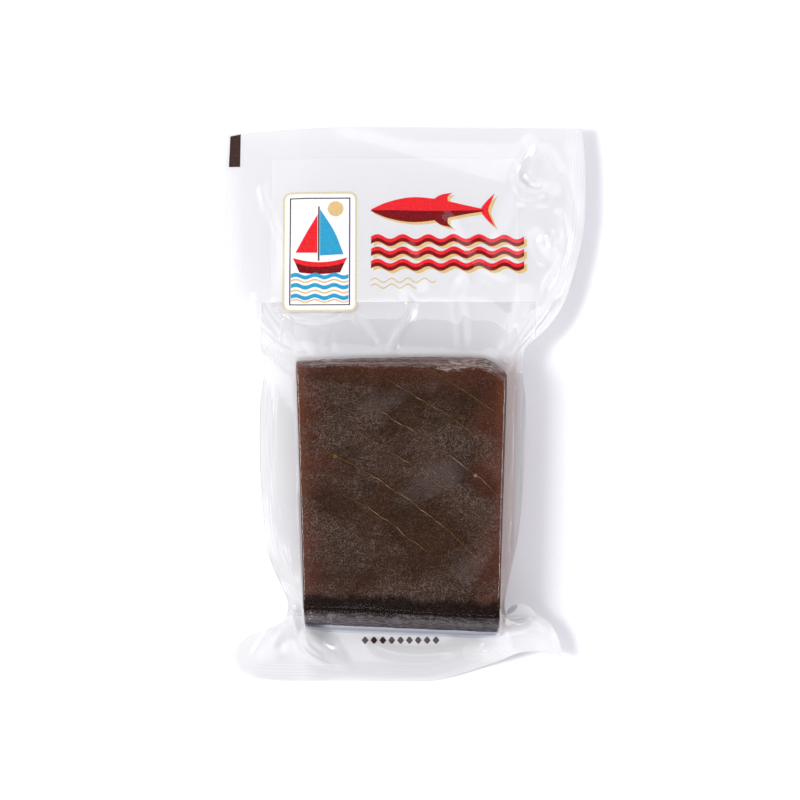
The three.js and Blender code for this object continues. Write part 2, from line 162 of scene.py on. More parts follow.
# Creases in the film: height, half width, sharpness from 0 to 1, and the path in plan
CREASES = [
    # From the far corners of the block into the head
    (0.85, 0.9, 0.7, [(37.4, 13.8), (43.6, 21), (50, 29.5), (56.4, 39.6), (61, 50)]),
    (0.69, 0.7, 0.7, [(38.5, 16.5), (42.5, 23), (47.3, 30), (52.6, 34.9)]),
    (-0.62, 0.9, 0.3, [(40.5, 15.5), (46.5, 22.5), (52.5, 30), (57.5, 38)]),
    (0.69, 0.7, 0.7, [(-40.2, 15.2), (-46, 19.6), (-51, 23.7), (-56.5, 28.5)]),
    (0.62, 0.8, 0.7, [(-39.3, 14.2), (-45.7, 22.8), (-50.5, 30), (-53, 38)]),
    (-0.54, 1, 0.3, [(-41, 17.5), (-47, 22.5), (-53, 31)]),
    (0.69, 1.2, 0.2, [(-50.5, 17), (-55, 25), (-56, 33), (-55.6, 40)]),
    # Long soft ridges of the tent over the far end
    (1.2, 1.5, 0.1, [(-5.5, 13.5), (-3.2, 21), (0.8, 27.5), (2.4, 33.5), (-2.8, 41)]),
    (0.75, 1.1, 0.2, [(-9.5, 17), (-12.2, 21.3), (-15.7, 26.8), (-19, 31)]),
    (0.6, 2.4, 0, [(20, 14), (21, 24), (19, 36), (24, 50)]),
    (0.52, 2.2, 0, [(-26, 14), (-28, 22), (-24, 31)]),
    # Round the card and across the head
    (0.58, 1.2, 0.2, [(-47.5, 33), (-43.1, 30.6), (-35.1, 28.7), (-27, 28.6), (-22, 31.5), (-17.5, 34.5)]),
    (0.38, 1.6, 0.1, [(-48.5, 70), (-47.4, 64), (-44.5, 58), (-43.5, 48), (-46, 38)]),
    (0.51, 1.3, 0.1, [(-52.8, 81), (-52, 76), (-50.6, 72), (-49.3, 68)]),
    (0.32, 2.6, 0, [(-30, 99), (-12, 95), (10, 88), (30, 82), (42, 80)]),
    (-0.32, 3.2, 0, [(2, 62), (8, 50), (6, 38)]),
    (0.38, 2.4, 0, [(14, 70), (18, 60), (28, 46), (40, 40)]),
    # Blisters and curved ridges at the right of the head
    (1.05, 2.2, 0.2, [(47.5, 98.5), (44.2, 91), (41, 85), (43, 79.5), (50, 76.8), (58.5, 77)]),
    (-0.98, 1.7, 0.1, [(43.6, 84.5), (46.6, 80.8), (51.2, 79.2)]),
    (0.68, 1.4, 0.3, [(50, 95), (55, 87), (60, 80)]),
    (0.83, 1.3, 0.4, [
        (53.9, 70.5), (57.6, 66.5), (59.4, 60), (58.6, 53), (55.2, 46.5), (51, 38.5), (47.8, 29),
    ]),
    (0.75, 1.9, 0.1, [(49.5, 62.5), (47.4, 58.5), (49.6, 53), (54.5, 49.5)]),
    (-0.68, 1.5, 0.1, [(52.5, 62), (54.2, 57.5), (52.6, 53.6)]),
    (0.52, 1.4, 0.3, [(61.5, 96), (60, 84), (62.5, 70), (62, 58)]),
    (0.45, 1.2, 0.3, [(40, 74), (47, 72.8), (55, 73)]),
    # Lengthwise lines of the side margins
    (0.2, 1, 0.3, [
        (-49.5, 9), (-47.9, -2), (-47.4, -18), (-48.4, -34), (-45.8, -50), (-41.6, -64.9), (-38.2, -74),
    ]),
    (0.15, 0.8, 0.4, [(-46, -38), (-42.9, -55.4), (-39.4, -66.7)]),
    (0.24, 1.6, 0, [(-51, -10), (-50.6, -28), (-48.6, -42)]),
    (0.18, 0.7, 0.4, [(42.6, 12), (42.4, -6), (41.6, -42), (38.7, -59.7), (35.8, -73.8)]),
    (0.12, 0.6, 0.4, [(43.4, 14), (43.2, -6.2), (42.6, -30)]),
    # Out of the near corners into the tail
    (1.2, 0.8, 0.8, [(-37.9, -76.5), (-44.4, -81.9), (-49.6, -87.4), (-54.2, -93.1)]),
    (0.6, 1.2, 0.3, [(-38.6, -79.5), (-38.4, -86), (-35.5, -91.5), (-30.5, -94.6), (-24.5, -96)]),
    (0.45, 1, 0.3, [(-36.6, -84), (-35.2, -88.7), (-31.5, -92), (-27, -93.6)]),
    (-0.45, 1.6, 0.1, [(-42, -83.5), (-44.5, -89), (-43, -95)]),
    (0.75, 0.7, 0.6, [(36.6, -79.2), (40.5, -78.6), (45.7, -77)]),
    (-0.83, 0.8, 0.3, [(36.6, -80.8), (40.6, -80.6), (44.5, -79.4)]),
    (0.83, 0.7, 0.6, [(36.4, -82.2), (39.4, -82.2), (43.4, -80.8), (47, -80.8)]),
    (0.2, 1.4, 0.1, [(35.8, -84.5), (38.4, -87.5), (38.2, -91.5)]),
    (0.38, 2, 0, [(-14, -87.5), (-6, -91), (6, -92.5), (18, -91)]),
    (-0.52, 1.6, 0.1, [(44, -82), (48.5, -85.5), (50.5, -90.5)]),
]

# Film gathered in thick folds at the near right corner: lower and upper sides in plan
GATHERS = [
    (
        [(36, -82.4), (37, -83), (38.4, -82.6), (39.6, -81.6)],
        [(35.9, -79.8), (36.5, -80.2), (37.8, -81), (39.6, -81.6)],
    ),
    (
        [(37.8, -81.6), (39.6, -82.5), (42, -82.6), (44.6, -81.3)],
        [(38.1, -81.1), (39.8, -82), (42, -82.1), (44.6, -81.3)],
    ),
]
# The fold of white film behind them, and a grey patch of painted shade in the hollow of it: lower and upper
# sides, with their heights
CORNER_FOLD = (
    [(36, -78.6, 13), (38.2, -80.5, 12.4), (42, -80.3, 11.8), (48.8, -80.6, 10.5)],
    [(36, -78.1, 13), (39.4, -75.3, 13.6), (43.4, -75.5, 13), (48.8, -80.3, 10.5)],
)
HOLLOW_SHADE = (
    [(36.7, -79.1, 13.3), (38.5, -78.5, 13.6), (40.1, -77, 13.9), (40.6, -75.7, 13.9)],
    [(36.7, -79.1, 13.3), (36.9, -77.8, 13.6), (38.6, -76.2, 14), (40.6, -75.7, 13.9)],
)

# Where the white back film has painted shade beside the block, warmed by light bounced off it, and painted
# bluish shade in the fold at its near foot
BLOCK_SHADE_WIDTH = 3.1
BLOCK_SHADE_FADE = 2.8
FOOT_WIDTH = 2.15

# The clear window between the two zones of white ink
WINDOW_LEFT = -52.0
WINDOW_RIGHT = 47.6
WINDOW_NECK = -79.0  # from here to the tail it is as wide as the block
WINDOW_HEAD = 35.4
# The denser white panel above it
PANEL_LEFT = -48.8
PANEL_RIGHT = 41.8
PANEL_HEAD = 89.7
INK_BLUR = 0.12  # half the width in which an edge of the white ink fades

# How far the inks lie above the film: gold shadows and the card's ground first, then what is printed on them
GROUND_INK = 0.03
FACE_INK = 0.05
PICTURE_INK = 0.08
WAVE_INK = 0.1
FRAME_INK = 0.12
MOTIF_INK = 0.07
MARK_INK = 0.04
GATHER_RISE = 0.3

# The card and the thin frame on it: left, low, right and high; then its cream border and how round it is
CARD = (-44.5, 31.8, -17.3, 77.0)
CARD_FRAME = (-42.0, 34.2, -19.8, 74.8)
CARD_BORDER = 0.8
CARD_ROUND = 2.6
FACE_ROUND = 2.0
FRAME_LINE = 0.42
# The boat on the card, and the sun: its middle and radius
MAST = (-31.6, 51, -31.05, 71.5)
SAIL = ([(-30.9, 70.5), (-30.9, 53)], [(-30.9, 70.5), (-25.6, 62), (-22.2, 53.4)])
JIB = ([(-31.8, 68.5), (-31.8, 54)], [(-31.8, 68.5), (-36.4, 60.5), (-39.8, 54)])
GUNWALE = [(-40.8, 52), (-36, 50.9), (-31, 50.5), (-26, 50.9), (-20.9, 52.2)]
STRIPE = [(-39.9, 50.1), (-36, 49.1), (-31, 48.7), (-26, 49.1), (-21.8, 50.3)]
KEEL = [(-38.4, 46.6), (-35, 46.2), (-31, 46), (-27, 46.2), (-23.4, 46.6)]
SUN = (-25.2, 70.6, 2.9)
# Its sea: left and right end, a wave's height and length, where the waves lie and half their thickness
SEA = (-41.4, -20.4)
SEA_RUN = (0.5, 7)
BLUE_WAVES, BLUE_HALF = (45.2, 41.4, 37.4), 0.75
GOLD_WAVES, GOLD_HALF = (43.4, 39.4, 35.9), 0.3

# The fish beside the card, the waves and the thin gold lines below it, and where their gold shadow lies
MOTIF_LEFT = -12.2
FISH_RIGHT = 33.2
FISH_LOW, FISH_HIGH = 63.2, 76.8
WAVES = (MOTIF_LEFT, 43.8)
WAVES_LOW, WAVES_HIGH = 47.1, 61.0
WAVE_COUNT = 3
WAVE_SHARE = 0.3  # half the share of its row that a wave fills
WAVE_RUN = (0.9, 9.3)
GOLD_LINES = [(43.6, 11.5), (41.4, 4.5)]
GOLD_LINE_HALF = 0.22
GOLD_LINE_RUN = (0.8, 6)
SHADOW_SHIFT = (1.0, -0.9)
# The register mark's left and right sides, and the lozenges on the tail: first middle, step and half sizes
REGISTER_MARK = ([(-64.4, 99.9), (-64.8, 88.1)], [(-60.5, 100.5), (-60.6, 87.9)])
LOZENGE_COUNT = 9
LOZENGE_START = (-14.2, -87.1)
LOZENGE_STEP = 3.2
LOZENGE_HALF = (1.25, 1.35)

# Rings of muscle about the fish's axis: radius, and the angles between which the tissue shows as a line
RING_CENTRE = (-112.0, -198.0)
RINGS = [
    (238.2, 60.8, 52.2), (227.4, 62.8, 50.2), (216.2, 62.6, 47.2), (205.4, 64.8, 44.9), (194.5, 65.6, 44.0),
    (183.9, 60.2, 49.0), (173.4, 62.8, 55.2),
]
# The lines' width and their cells' length, where across them the tissue lies, and knots: X, Y and radius
SINEW_WIDTH = 1.25
SINEW_STEP = 0.7
SINEW_CORE = 0.3
SINEW_KNOTS = [(-24.8, -24.3, 0.7), (25.2, -31.2, 0.7), (-13.5, -17.5, 0.4)]
# The pale fibres and painted sheen on the worn far ledge are fewest here
LEDGE_DARK_X = -5.5
# Parts of the top face without bloom: middle X and Y, half sizes, and how they are turned
BARE_PATCHES = [
    (4, -48, 24, 12, -38), (27, -2, 17, 12, -25), (-12, 6, 24, 4, 0), (26, -32, 12, 5, -40),
    (-24, -41, 12, 6, -38),
]

BLOCK_CUTS = 90
BLOCK_ROUND = (5, 6)
MARGIN_CELLS, HEAD_CELLS, TAIL_CELLS = 34, 128, 44
TOP_CELLS = (134, 160)
ROUND_CELLS = (8, 9)
BACK_SHARE = 0.42
EVENING_PASSES = 60
# Print is laid down onto the film from this height, which is above all of it
PRINT_START = 60

# The key light, in metres
KEY_PLACE = (-0.83, -0.2, 1.2)
KEY_SIZE = (0.34, 0.5)

# Softboxes far away, by their sides on a ceiling one unit up: left, right, near, far; how far the near side
# leans for each unit to the right, and strength
SOFTBOXES = [
    (-1.35, -1.0, 0.12, 0.34, 0, 10.0),
    (-1.3, -0.75, 0.34, 1.0, 0, 1.4),
    (0.6, 1.0, 0.05, 0.34, 0, 8.0),
    (0.5, 1.2, 0.34, 0.9, 0, 1.5),
    (-0.45, 0.9, 0.37, 1.5, 0.344, 1.7),
    (-0.9, 0.9, -1.5, -0.55, 0, 1.9),
    (-0.92, -0.55, -0.42, 0.08, 0, 1.2),
    (0.22, 0.6, 0.13, 0.3, 0, 1.2),
    (-0.75, -0.27, 0.175, 0.33, 0, 1.2),
    (-0.14, 0.12, -0.08, 0.07, 0, 2.2),
]

# The board's size in metres, and how many millimetres it lies below the pouch
BOARD_SIZE = 8
BOARD_DROP = 0.05

# The photograph's view: its width at the table, how far away the camera is and how many degrees up
VIEW_WIDTH = 292.8
VIEW_DISTANCE = 1300.0
VIEW_ELEVATION = 80.0
VIEW_TARGET = (-1.6, 1.3, 0.0)

# Settings that many nodes share: a soft ramp, and a mix of colours with its output
SOFTLY = {"interpolation_type": "SMOOTHSTEP"}
COLOURS = {"data_type": "RGBA", "output": 2}


def linear(hex_colour):
    """An sRGB hex value as the linear colour that shaders take."""
    parts = [int(hex_colour[i : i + 2], 16) / 255 for i in (1, 3, 5)]
    return tuple(c / 12.92 if c <= 0.04045 else ((c + 0.055) / 1.055) ** 2.4 for c in parts) + (1.0,)


def smooth(x, low, high):
    t = np.clip((x - low) / (high - low), 0, 1)
    return t * t * (3 - 2 * t)


def mix(a, b, t):
    return a + (b - a) * t


# The block's form

def half_width(y):
    return mix(HALF_NEAR, HALF_FAR, np.clip((y - NEAR_Y) / (FAR_Y - NEAR_Y), 0, 1))


def across_share(x):
    return np.clip((x - BLOCK_MID_X) / HALF_NEAR, -1.15, 1.15)


def near_end(x):
    return NEAR_Y + NEAR_SKEW * across_share(x)


def far_end(x):
    """The far cut bulges in the middle, and its right corner is worn round."""
    share = across_share(x)
    worn = np.clip((x - BLOCK_MID_X - HALF_FAR) / WORN_LENGTH + 1, 0, 1) ** WORN_POWER
    return FAR_Y - FAR_BOW * share**2 + FAR_SKEW * share - WORN_DEPTH * worn


def far_round(x):
    """The far top edge is worn to a ledge, broader at the right."""
    return mix(FAR_ROUND_LEFT, FAR_ROUND_RIGHT, np.clip((across_share(x) + 1) / 2, 0, 1))


def swell(x, y):
    """Long shallow swells on the top face, which fade out towards its edges."""
    across = ((x - BLOCK_MID_X) / half_width(y)) ** 4
    along = ((y - MID_Y) / HALF_LENGTH) ** 6
    waves = 0.4 * np.sin(0.075 * x + 0.05 * y + 0.6) + 0.25 * np.sin(0.16 * y - 0.09 * x)
    return np.clip(1 - np.maximum(across, along), 0, 1) * (waves - 0.3)


def locate(x, y, grown):
    """Where points are with respect to the block grown by some distance: reach is below 1 on its top face,
    1 on its outline and more outside; endness is 1 straight past an end; then which end, and its rounding."""
    is_far = y > MID_Y
    end_round = np.where(is_far, far_round(x), NEAR_ROUND)
    in_side = half_width(y) - np.abs(x - BLOCK_MID_X)
    in_end = np.where(is_far, far_end(x) - y, y - near_end(x))
    a = np.maximum(0, (SIDE_ROUND - in_side) / (SIDE_ROUND + grown))
    b = np.maximum(0, (end_round - in_end) / (end_round + grown))
    reach = (a**CORNER_POWER + b**CORNER_POWER) ** (1 / CORNER_POWER)
    endness = b**2 / np.maximum(a**2 + b**2, 1e-9)
    return reach, endness, is_far, mix(SIDE_ROUND, end_round, endness)


def top_of_block(x, y, grown):
    reach, _, _, rounding = locate(x, y, grown)
    fall = (rounding + grown) * (1 - np.sqrt(1 - np.minimum(reach, 1) ** 2))
    return BLOCK_THICK + grown + swell(x, y) - fall


def round_corner(x, y, grown):
    """Draws what lies in a corner of the grown outline from its square onto a rounded one."""
    is_far = y > MID_Y
    side = np.where(x < BLOCK_MID_X, -1, 1)
    end = np.where(is_far, 1, -1)
    end_round = np.where(is_far, far_round(x), NEAR_ROUND)
    corner_x = BLOCK_MID_X + side * (half_width(y) - SIDE_ROUND)
    corner_y = np.where(is_far, far_end(x) - end_round, near_end(x) + NEAR_ROUND)
    a = side * (x - corner_x) / (SIDE_ROUND + grown)
    b = end * (y - corner_y) / (end_round + grown)
    inside = (a > 0) & (b > 0)
    a, b = np.maximum(a, 0), np.maximum(b, 0)
    rounded = (a**CORNER_POWER + b**CORNER_POWER) ** (1 / CORNER_POWER)
    pull = np.where(inside, np.maximum(a, b) / np.maximum(rounded, 1e-9), 1)
    new_x = corner_x + side * a * pull * (SIDE_ROUND + grown)
    new_y = corner_y + end * b * pull * (end_round + grown)
    return np.where(inside, new_x, x), np.where(inside, new_y, y)


def plan_point(s, t, grown):
    """Points on the block's plan, from shares of the grown width and length."""
    y0 = mix(NEAR_Y - grown, FAR_Y + grown, t)
    x = BLOCK_MID_X + (2 * s - 1) * (half_width(y0) + grown)
    to_far = (y0 - NEAR_Y) / (FAR_Y - NEAR_Y)
    y = y0 + (near_end(x) - NEAR_Y) * (1 - to_far) + (far_end(x) - FAR_Y) * to_far
    return round_corner(x, y, grown)


# The pouch's seam surface

def curve_through(points):
    """A smooth centripetal curve through points, read at even shares of its length."""
    p = np.array(points, float)
    p = np.vstack([2 * p[0] - p[1], p, 2 * p[-1] - p[-2]])
    steps = 60
    t = np.linspace(0, 1, steps, endpoint=False)[:, None]
    pieces = []
    for i in range(1, len(p) - 2):
        d0, d1, d2 = (max(np.linalg.norm(p[i + k] - p[i + k - 1]) ** 0.5, 1e-4) for k in (0, 1, 2))
        m1 = (p[i] - p[i - 1]) / d0 - (p[i + 1] - p[i - 1]) / (d0 + d1) + (p[i + 1] - p[i]) / d1
        m2 = (p[i + 1] - p[i]) / d1 - (p[i + 2] - p[i]) / (d1 + d2) + (p[i + 2] - p[i + 1]) / d2
        m1, m2 = m1 * d1, m2 * d1
        pieces.append(
            p[i] * (2 * t**3 - 3 * t**2 + 1)
            + m1 * (t**3 - 2 * t**2 + t)
            + p[i + 1] * (3 * t**2 - 2 * t**3)
            + m2 * (t**3 - t**2)
        )
    line = np.vstack([*pieces, p[-2:-1]])
    length = np.concatenate([[0], np.cumsum(np.linalg.norm(np.diff(line, axis=0), axis=1))])
    length /= length[-1]

    def at(share):
        share = np.clip(np.asarray(share, float), 0, 1)
        return np.stack([np.interp(share, length, line[:, k]) for k in range(3)], axis=-1)

    return at


def part(curve, low, high):
    return lambda t: curve(mix(low, high, np.asarray(t, float)))


def straight(start, end):
    return lambda t: mix(start, end, np.asarray(t, float)[..., None])


def patch_between(low, high, left, right):
    """A surface stretched between four curves; the first two run along its lower and upper sides."""

    def at(s, t):
        u, v = s[..., None], t[..., None]
        sides = low(s) * (1 - v) + high(s) * v + left(t) * (1 - u) + right(t) * u
        corners = low(0) * (1 - u) * (1 - v) + low(1) * u * (1 - v) + high(0) * (1 - u) * v + high(1) * u * v
        return sides - corners

    return at


def skin_point(s, t):
    """The outline of the block's skin, with the height of the seam behind it."""
    s, t = np.broadcast_arrays(np.asarray(s, float), np.asarray(t, float))
    x, y = plan_point(s, t, FILM_OFF)
    # Along a side it falls to the corners, over a seventh of it at the near end and a fifth at the far end
    at_side = mix(mix(SEAM_SIDE, NEAR_CORNER, np.maximum(0, 1 - 7 * t)), SEAM_FAR, np.maximum(0, 5 * t - 4))
    corner = smooth(np.abs(2 * s - 1), 0.72, 1)
    at_end = np.where(t > 0.5, SEAM_FAR, mix(SEAM_NEAR, NEAR_CORNER, corner))
    return np.stack([x, y, np.where((s == 0) | (s == 1), at_side, at_end)], axis=-1)


def seam_patches():
    """The surface where the two films meet, in nine patches: three across, and three from tail to head."""
    tail, head = curve_through(TAIL_EDGE), curve_through(HEAD_EDGE)
    left_tail, left_side, left_head = (curve_through(c) for c in (LEFT_TAIL, LEFT_SIDE, LEFT_HEAD))
    right_tail, right_side, right_head = (curve_through(c) for c in (RIGHT_TAIL, RIGHT_SIDE, RIGHT_HEAD))
    skin_left, skin_right = (lambda t: skin_point(0, t)), (lambda t: skin_point(1, t))
    skin_near, skin_far = (lambda s: skin_point(s, 0)), (lambda s: skin_point(s, 1))
    (tail_a, tail_b), (head_a, head_b) = TAIL_TIES, HEAD_TIES
    low_left = straight(tail(tail_a), skin_left(0))
    low_right = straight(tail(tail_b), skin_right(0))
    high_left = straight(skin_left(1), head(head_a))
    high_right = straight(skin_right(1), head(head_b))
    near_left = straight(left_tail(1), skin_left(0))
    near_right = straight(skin_right(0), right_tail(1))
    far_left = straight(left_side(1), skin_left(1))
    far_right = straight(skin_right(1), right_side(1))
    return [
        [
            patch_between(part(tail, 0, tail_a), near_left, left_tail, low_left),
            patch_between(part(tail, tail_a, tail_b), skin_near, low_left, low_right),
            patch_between(part(tail, tail_b, 1), near_right, low_right, right_tail),
        ],
        [
            patch_between(near_left, far_left, left_side, skin_left),
            skin_point,
            patch_between(near_right, far_right, skin_right, right_side),
        ],
        [
            patch_between(far_left, part(head, 0, head_a), left_head, high_left),
            patch_between(skin_far, part(head, head_a, head_b), high_left, high_right),
            patch_between(far_right, part(head, head_b, 1), high_right, right_head),
        ],
    ]


def outward_shares(count):
    """Shares from 0 to 1 that lie closer together near 0."""
    crowding = 1.3
    return np.expm1(crowding * np.linspace(0, 1, count + 1)) / math.expm1(crowding)


def rolled_shares(low_round, high_round, span, rolled, count):
    """Shares from 0 to 1 with some cells for the rolled edge at both ends."""
    low, high = low_round / span, high_round / span
    turn = np.sin(np.linspace(0, math.pi / 2, rolled + 1))
    middle = np.linspace(low, 1 - high, count + 1)
    return np.concatenate([low * (1 - turn[:0:-1]), middle, 1 - high * (1 - turn[1:])])


def shares_across(grown, rolled, count):
    side = SIDE_ROUND + grown
    return rolled_shares(side, side, HALF_NEAR + HALF_FAR + 2 * grown, rolled, count)


def shares_along(grown, rolled, count):
    far = FAR_ROUND_RIGHT + grown
    return rolled_shares(NEAR_ROUND + grown, far, FAR_Y - NEAR_Y + 2 * grown, rolled, count)


def distance_to_path(x, y, path):
    """How far points lie from a smooth path in plan, and at which share of its length."""
    line = curve_through([(*p, 0) for p in path])(np.linspace(0, 1, 22))
    best = np.full(x.shape, 1e9)
    share = np.zeros(x.shape)
    for k in range(len(line) - 1):
        (ax, ay), (bx, by) = line[k, :2], line[k + 1, :2]
        dx, dy = bx - ax, by - ay
        t = np.clip(((x - ax) * dx + (y - ay) * dy) / (dx * dx + dy * dy), 0, 1)
        d = np.hypot(x - ax - t * dx, y - ay - t * dy)
        nearer = d < best
        best = np.where(nearer, d, best)
        share = np.where(nearer, (k + t) / (len(line) - 1), share)
    return best, share


def crease_height(x, y):
    """The height that the creases add: soft ones are rounded ridges, sharp ones come to a crest."""
    height = np.zeros(x.shape)
    for rise, breadth, sharpness, path in CREASES:
        xs, ys = [p[0] for p in path], [p[1] for p in path]
        reach = 4 * breadth
        near = (x > min(xs) - reach) & (x < max(xs) + reach) & (y > min(ys) - reach) & (y < max(ys) + reach)
        if not near.any():
            continue
        off, share = distance_to_path(x[near], y[near], path)
        soft = np.exp(-((off / breadth) ** 2))
        crest = np.exp(-np.sqrt(off**2 + 0.02) * 1.6 / breadth)
        fade = smooth(share, -0.02, 0.16) * (1 - smooth(share, 0.7, 1.02))
        height[near] += rise * fade * mix(soft, crest, sharpness)
    return height


def fold_height(x, y):
    height = np.zeros(x.shape)
    for x0, y0, x1, y1, rise, breadth in FOLDS:
        length = math.hypot(x1 - x0, y1 - y0)
        along = ((x - x0) * (x1 - x0) + (y - y0) * (y1 - y0)) / length**2
        off = ((x - x0) * (y1 - y0) - (y - y0) * (x1 - x0)) / length
        past = np.maximum(np.maximum(-along, along - 1), 0) * length
        fade = np.clip(1.15 - along, 0, 1)
        height += rise * fade * np.exp(-((off / breadth) ** 2) - (past / breadth) ** 2)
    return height


def head_droop(x, y):
    """How far the head's far right part leans down beyond a straight crease across it."""
    (ax, ay), (bx, by) = DROOP_LINE
    up = np.minimum(y, DROOP_END) - ay
    beyond = ((by - ay) * (ax - x) + (bx - ax) * up) / math.hypot(bx - ax, by - ay)
    return DROOP_SLOPE * np.maximum(beyond, 0) * (y > DROOP_START)


def noise_at(points, size, seed):
    """Smooth noise of about -1 to 1 at points in millimetres. Size is one number, or three to stretch it."""
    scaled = points / np.asarray(size, float) + seed
    return np.array([noise.noise(Vector(p)) for p in scaled])


def seam_grid(fine):
    """Rows and columns of points on the surface where the films meet, from the tail and from the left."""
    counts = (MARGIN_CELLS, HEAD_CELLS, TAIL_CELLS)
    margin, head, tail = (outward_shares(int(cells * fine)) for cells in counts)
    rolled = [max(3, int(cells * fine)) for cells in ROUND_CELLS]
    across = [1 - margin[::-1], shares_across(FILM_OFF, rolled[0], int(TOP_CELLS[0] * fine)), margin]
    along = [1 - tail[::-1], shares_along(FILM_OFF, rolled[1], int(TOP_CELLS[1] * fine)), head]
    patches = seam_patches()
    bands = []
    for row, t in enumerate(along):
        cells = []
        for column, s in enumerate(across):
            s_used = s if column == 0 else s[1:]
            t_used = t if row == 0 else t[1:]
            cells.append(patches[row][column](*np.meshgrid(s_used, t_used)))
        bands.append(np.concatenate(cells, axis=1))
    return soften(np.concatenate(bands, axis=0))


def film_grid(fine):
    """The points of the front and back films, with their distance from the pouch's rim, and 0 where they lie
    on the fish and 1 where they are off it."""
    x, y, z = np.moveaxis(seam_grid(fine), -1, 0)
    reach, endness, is_far, rounding = locate(x, y, FILM_OFF)
    clear = np.maximum(0, reach - 1) * (rounding + FILM_OFF)
    left_room, right_room = clear[:, :1], clear[:, -1:]
    room = WALL_ROOM * np.where(x < BLOCK_MID_X, left_room, right_room)
    creased = fold_height(x, y) + crease_height(x, y) - head_droop(x, y)
    folded = z + creased * np.clip(clear / CREASE_START, 0, 1)
    side = np.minimum(np.where(x < BLOCK_MID_X, LEFT_WALL, RIGHT_WALL), room)
    wall_width = mix(side, np.where(is_far, HEAD_TENT, NEAR_WALL), endness)
    away = np.clip(clear / np.maximum(wall_width, LEAST), 0, 1)
    shoulder = np.where(reach < 1, top_of_block(x, y, FILM_OFF), BLOCK_THICK - rounding)
    flange = np.maximum(folded + SEAM_THICK / 2, SEAM_THICK)
    front = np.where(reach < 1, shoulder, flange + (shoulder - flange) * (1 - away) ** 2)
    # Beside the block the back film stands straight up to the seam; at the ends it slopes up to it
    skirt = np.maximum(np.where(is_far, HEAD_SKIRT, NEAR_SKIRT) * endness, LEAST)
    rising = np.where(reach < 0.9995, 0, np.clip(clear / skirt + 1 - endness, 0, 1))
    back = np.maximum(folded - SEAM_THICK / 2, 0) * (1 - (1 - rising) ** 2)
    back = np.minimum(back, front - LEAST)
    # The front film comes off the fish at its rounded top edges, but at the near end only at its foot
    near = 1 - smooth(y, NEAR_Y + 6, NEAR_Y + 10)
    loose = mix(smooth(reach, 0.05, 0.5), smooth(clear, 0.5, 1.5), near)
    measures = {"from_rim": distance_from_rim(x, y), "loose": loose}
    return np.stack([x, y, front], -1), np.stack([x, y, back], -1), measures


def soften(seam):
    """Evens out the joins between patches away from the block, with the rim left where it is."""
    reach, _, _, rounding = locate(seam[..., 0], seam[..., 1], FILM_OFF)
    clear = np.maximum(0, reach - 1) * (rounding + FILM_OFF)
    share = smooth(clear, 1.5, 5)[..., None]
    for _ in range(EVENING_PASSES):
        around = seam.copy()
        inner = (seam[:-2, 1:-1] + seam[2:, 1:-1] + seam[1:-1, :-2] + seam[1:-1, 2:]) / 4
        around[1:-1, 1:-1] = inner
        seam = mix(seam, around, share)
    return seam


def distance_from_rim(x, y):
    """Millimetres of film between each point and the pouch's nearest sealed edge."""
    steps_across = np.hypot(np.diff(x, axis=1), np.diff(y, axis=1))
    steps_along = np.hypot(np.diff(x, axis=0), np.diff(y, axis=0))
    zero_column, zero_row = np.zeros((x.shape[0], 1)), np.zeros((1, x.shape[1]))
    from_left = np.hstack([zero_column, np.cumsum(steps_across, axis=1)])
    from_tail = np.vstack([zero_row, np.cumsum(steps_along, axis=0)])
    from_right = from_left[:, -1:] - from_left
    return np.minimum(np.minimum(from_left, from_right), from_tail)


# Working on meshes

def add_grid(name, columns, rows, place):
    """A grid of that many cells, whose points go where place says from their shares across and along."""
    bpy.ops.object.select_all(action="DESELECT")
    bpy.ops.mesh.primitive_grid_add(x_subdivisions=columns, y_subdivisions=rows, size=2)
    piece = bpy.context.object
    piece.name = name
    piece.data.name = name
    shares = (points_of(piece) + 1) / 2
    move_points(piece, place(shares[:, 0], shares[:, 1]) * MM)
    bpy.ops.object.shade_smooth()
    return piece


def points_of(piece):
    flat = np.zeros(len(piece.data.vertices) * 3, np.float32)
    piece.data.vertices.foreach_get("co", flat)
    return flat.reshape(-1, 3).astype(float)


def move_points(piece, points):
    piece.data.vertices.foreach_set("co", points.astype(np.float32).ravel())
    piece.data.update()


def turn_inside_out(piece):
    with_focus(piece)
    bpy.ops.object.mode_set(mode="EDIT")
    bpy.ops.mesh.select_all(action="SELECT")
    bpy.ops.mesh.flip_normals()
    bpy.ops.object.mode_set(mode="OBJECT")


def with_focus(piece):
    bpy.ops.object.select_all(action="DESELECT")
    piece.select_set(True)
    bpy.context.view_layer.objects.active = piece


def settle(piece, material, slot, node):
    """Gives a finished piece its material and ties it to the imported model."""
    piece.data.materials.clear()
    piece.data.materials.append(material)
    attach(piece, "root")
    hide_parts(node)


def joined(name, pieces):
    """Several pieces of one material as one piece."""
    bpy.ops.object.select_all(action="DESELECT")
    for piece in pieces:
        piece.select_set(True)
    bpy.context.view_layer.objects.active = pieces[0]
    if len(pieces) > 1:
        bpy.ops.object.join()
    pieces[0].name = name
    pieces[0].data.name = name
    return pieces[0]


# Materials

def adder(tree):
    """Empties a node tree, and gives the function that adds a shader node to it."""
    tree.nodes.clear()

    def add(kind, links, output=0, **settings):
        """Links are values or sockets for the node's inputs. Gives one of its outputs back."""
        made = tree.nodes.new("ShaderNode" + kind)
        for key, value in settings.items():
            setattr(made, key, value)
        for key, value in links.items():
            if isinstance(value, bpy.types.NodeSocket):
                tree.links.new(value, made.inputs[key])
            else:
                made.inputs[key].default_value = value
        return made.outputs[output] if made.outputs else None

    return add


def new_material(name):
    """A material without nodes, and the function that adds them to it."""
    material = bpy.data.materials.new(name)
    material.use_nodes = True
    return material, adder(material.node_tree)


def millimetres(add):
    """Where a point of the piece is, in millimetres."""
    place = add("TexCoord", {}, "Object")
    return add("VectorMath", {"Vector": place, "Scale": 1 / MM}, operation="SCALE")


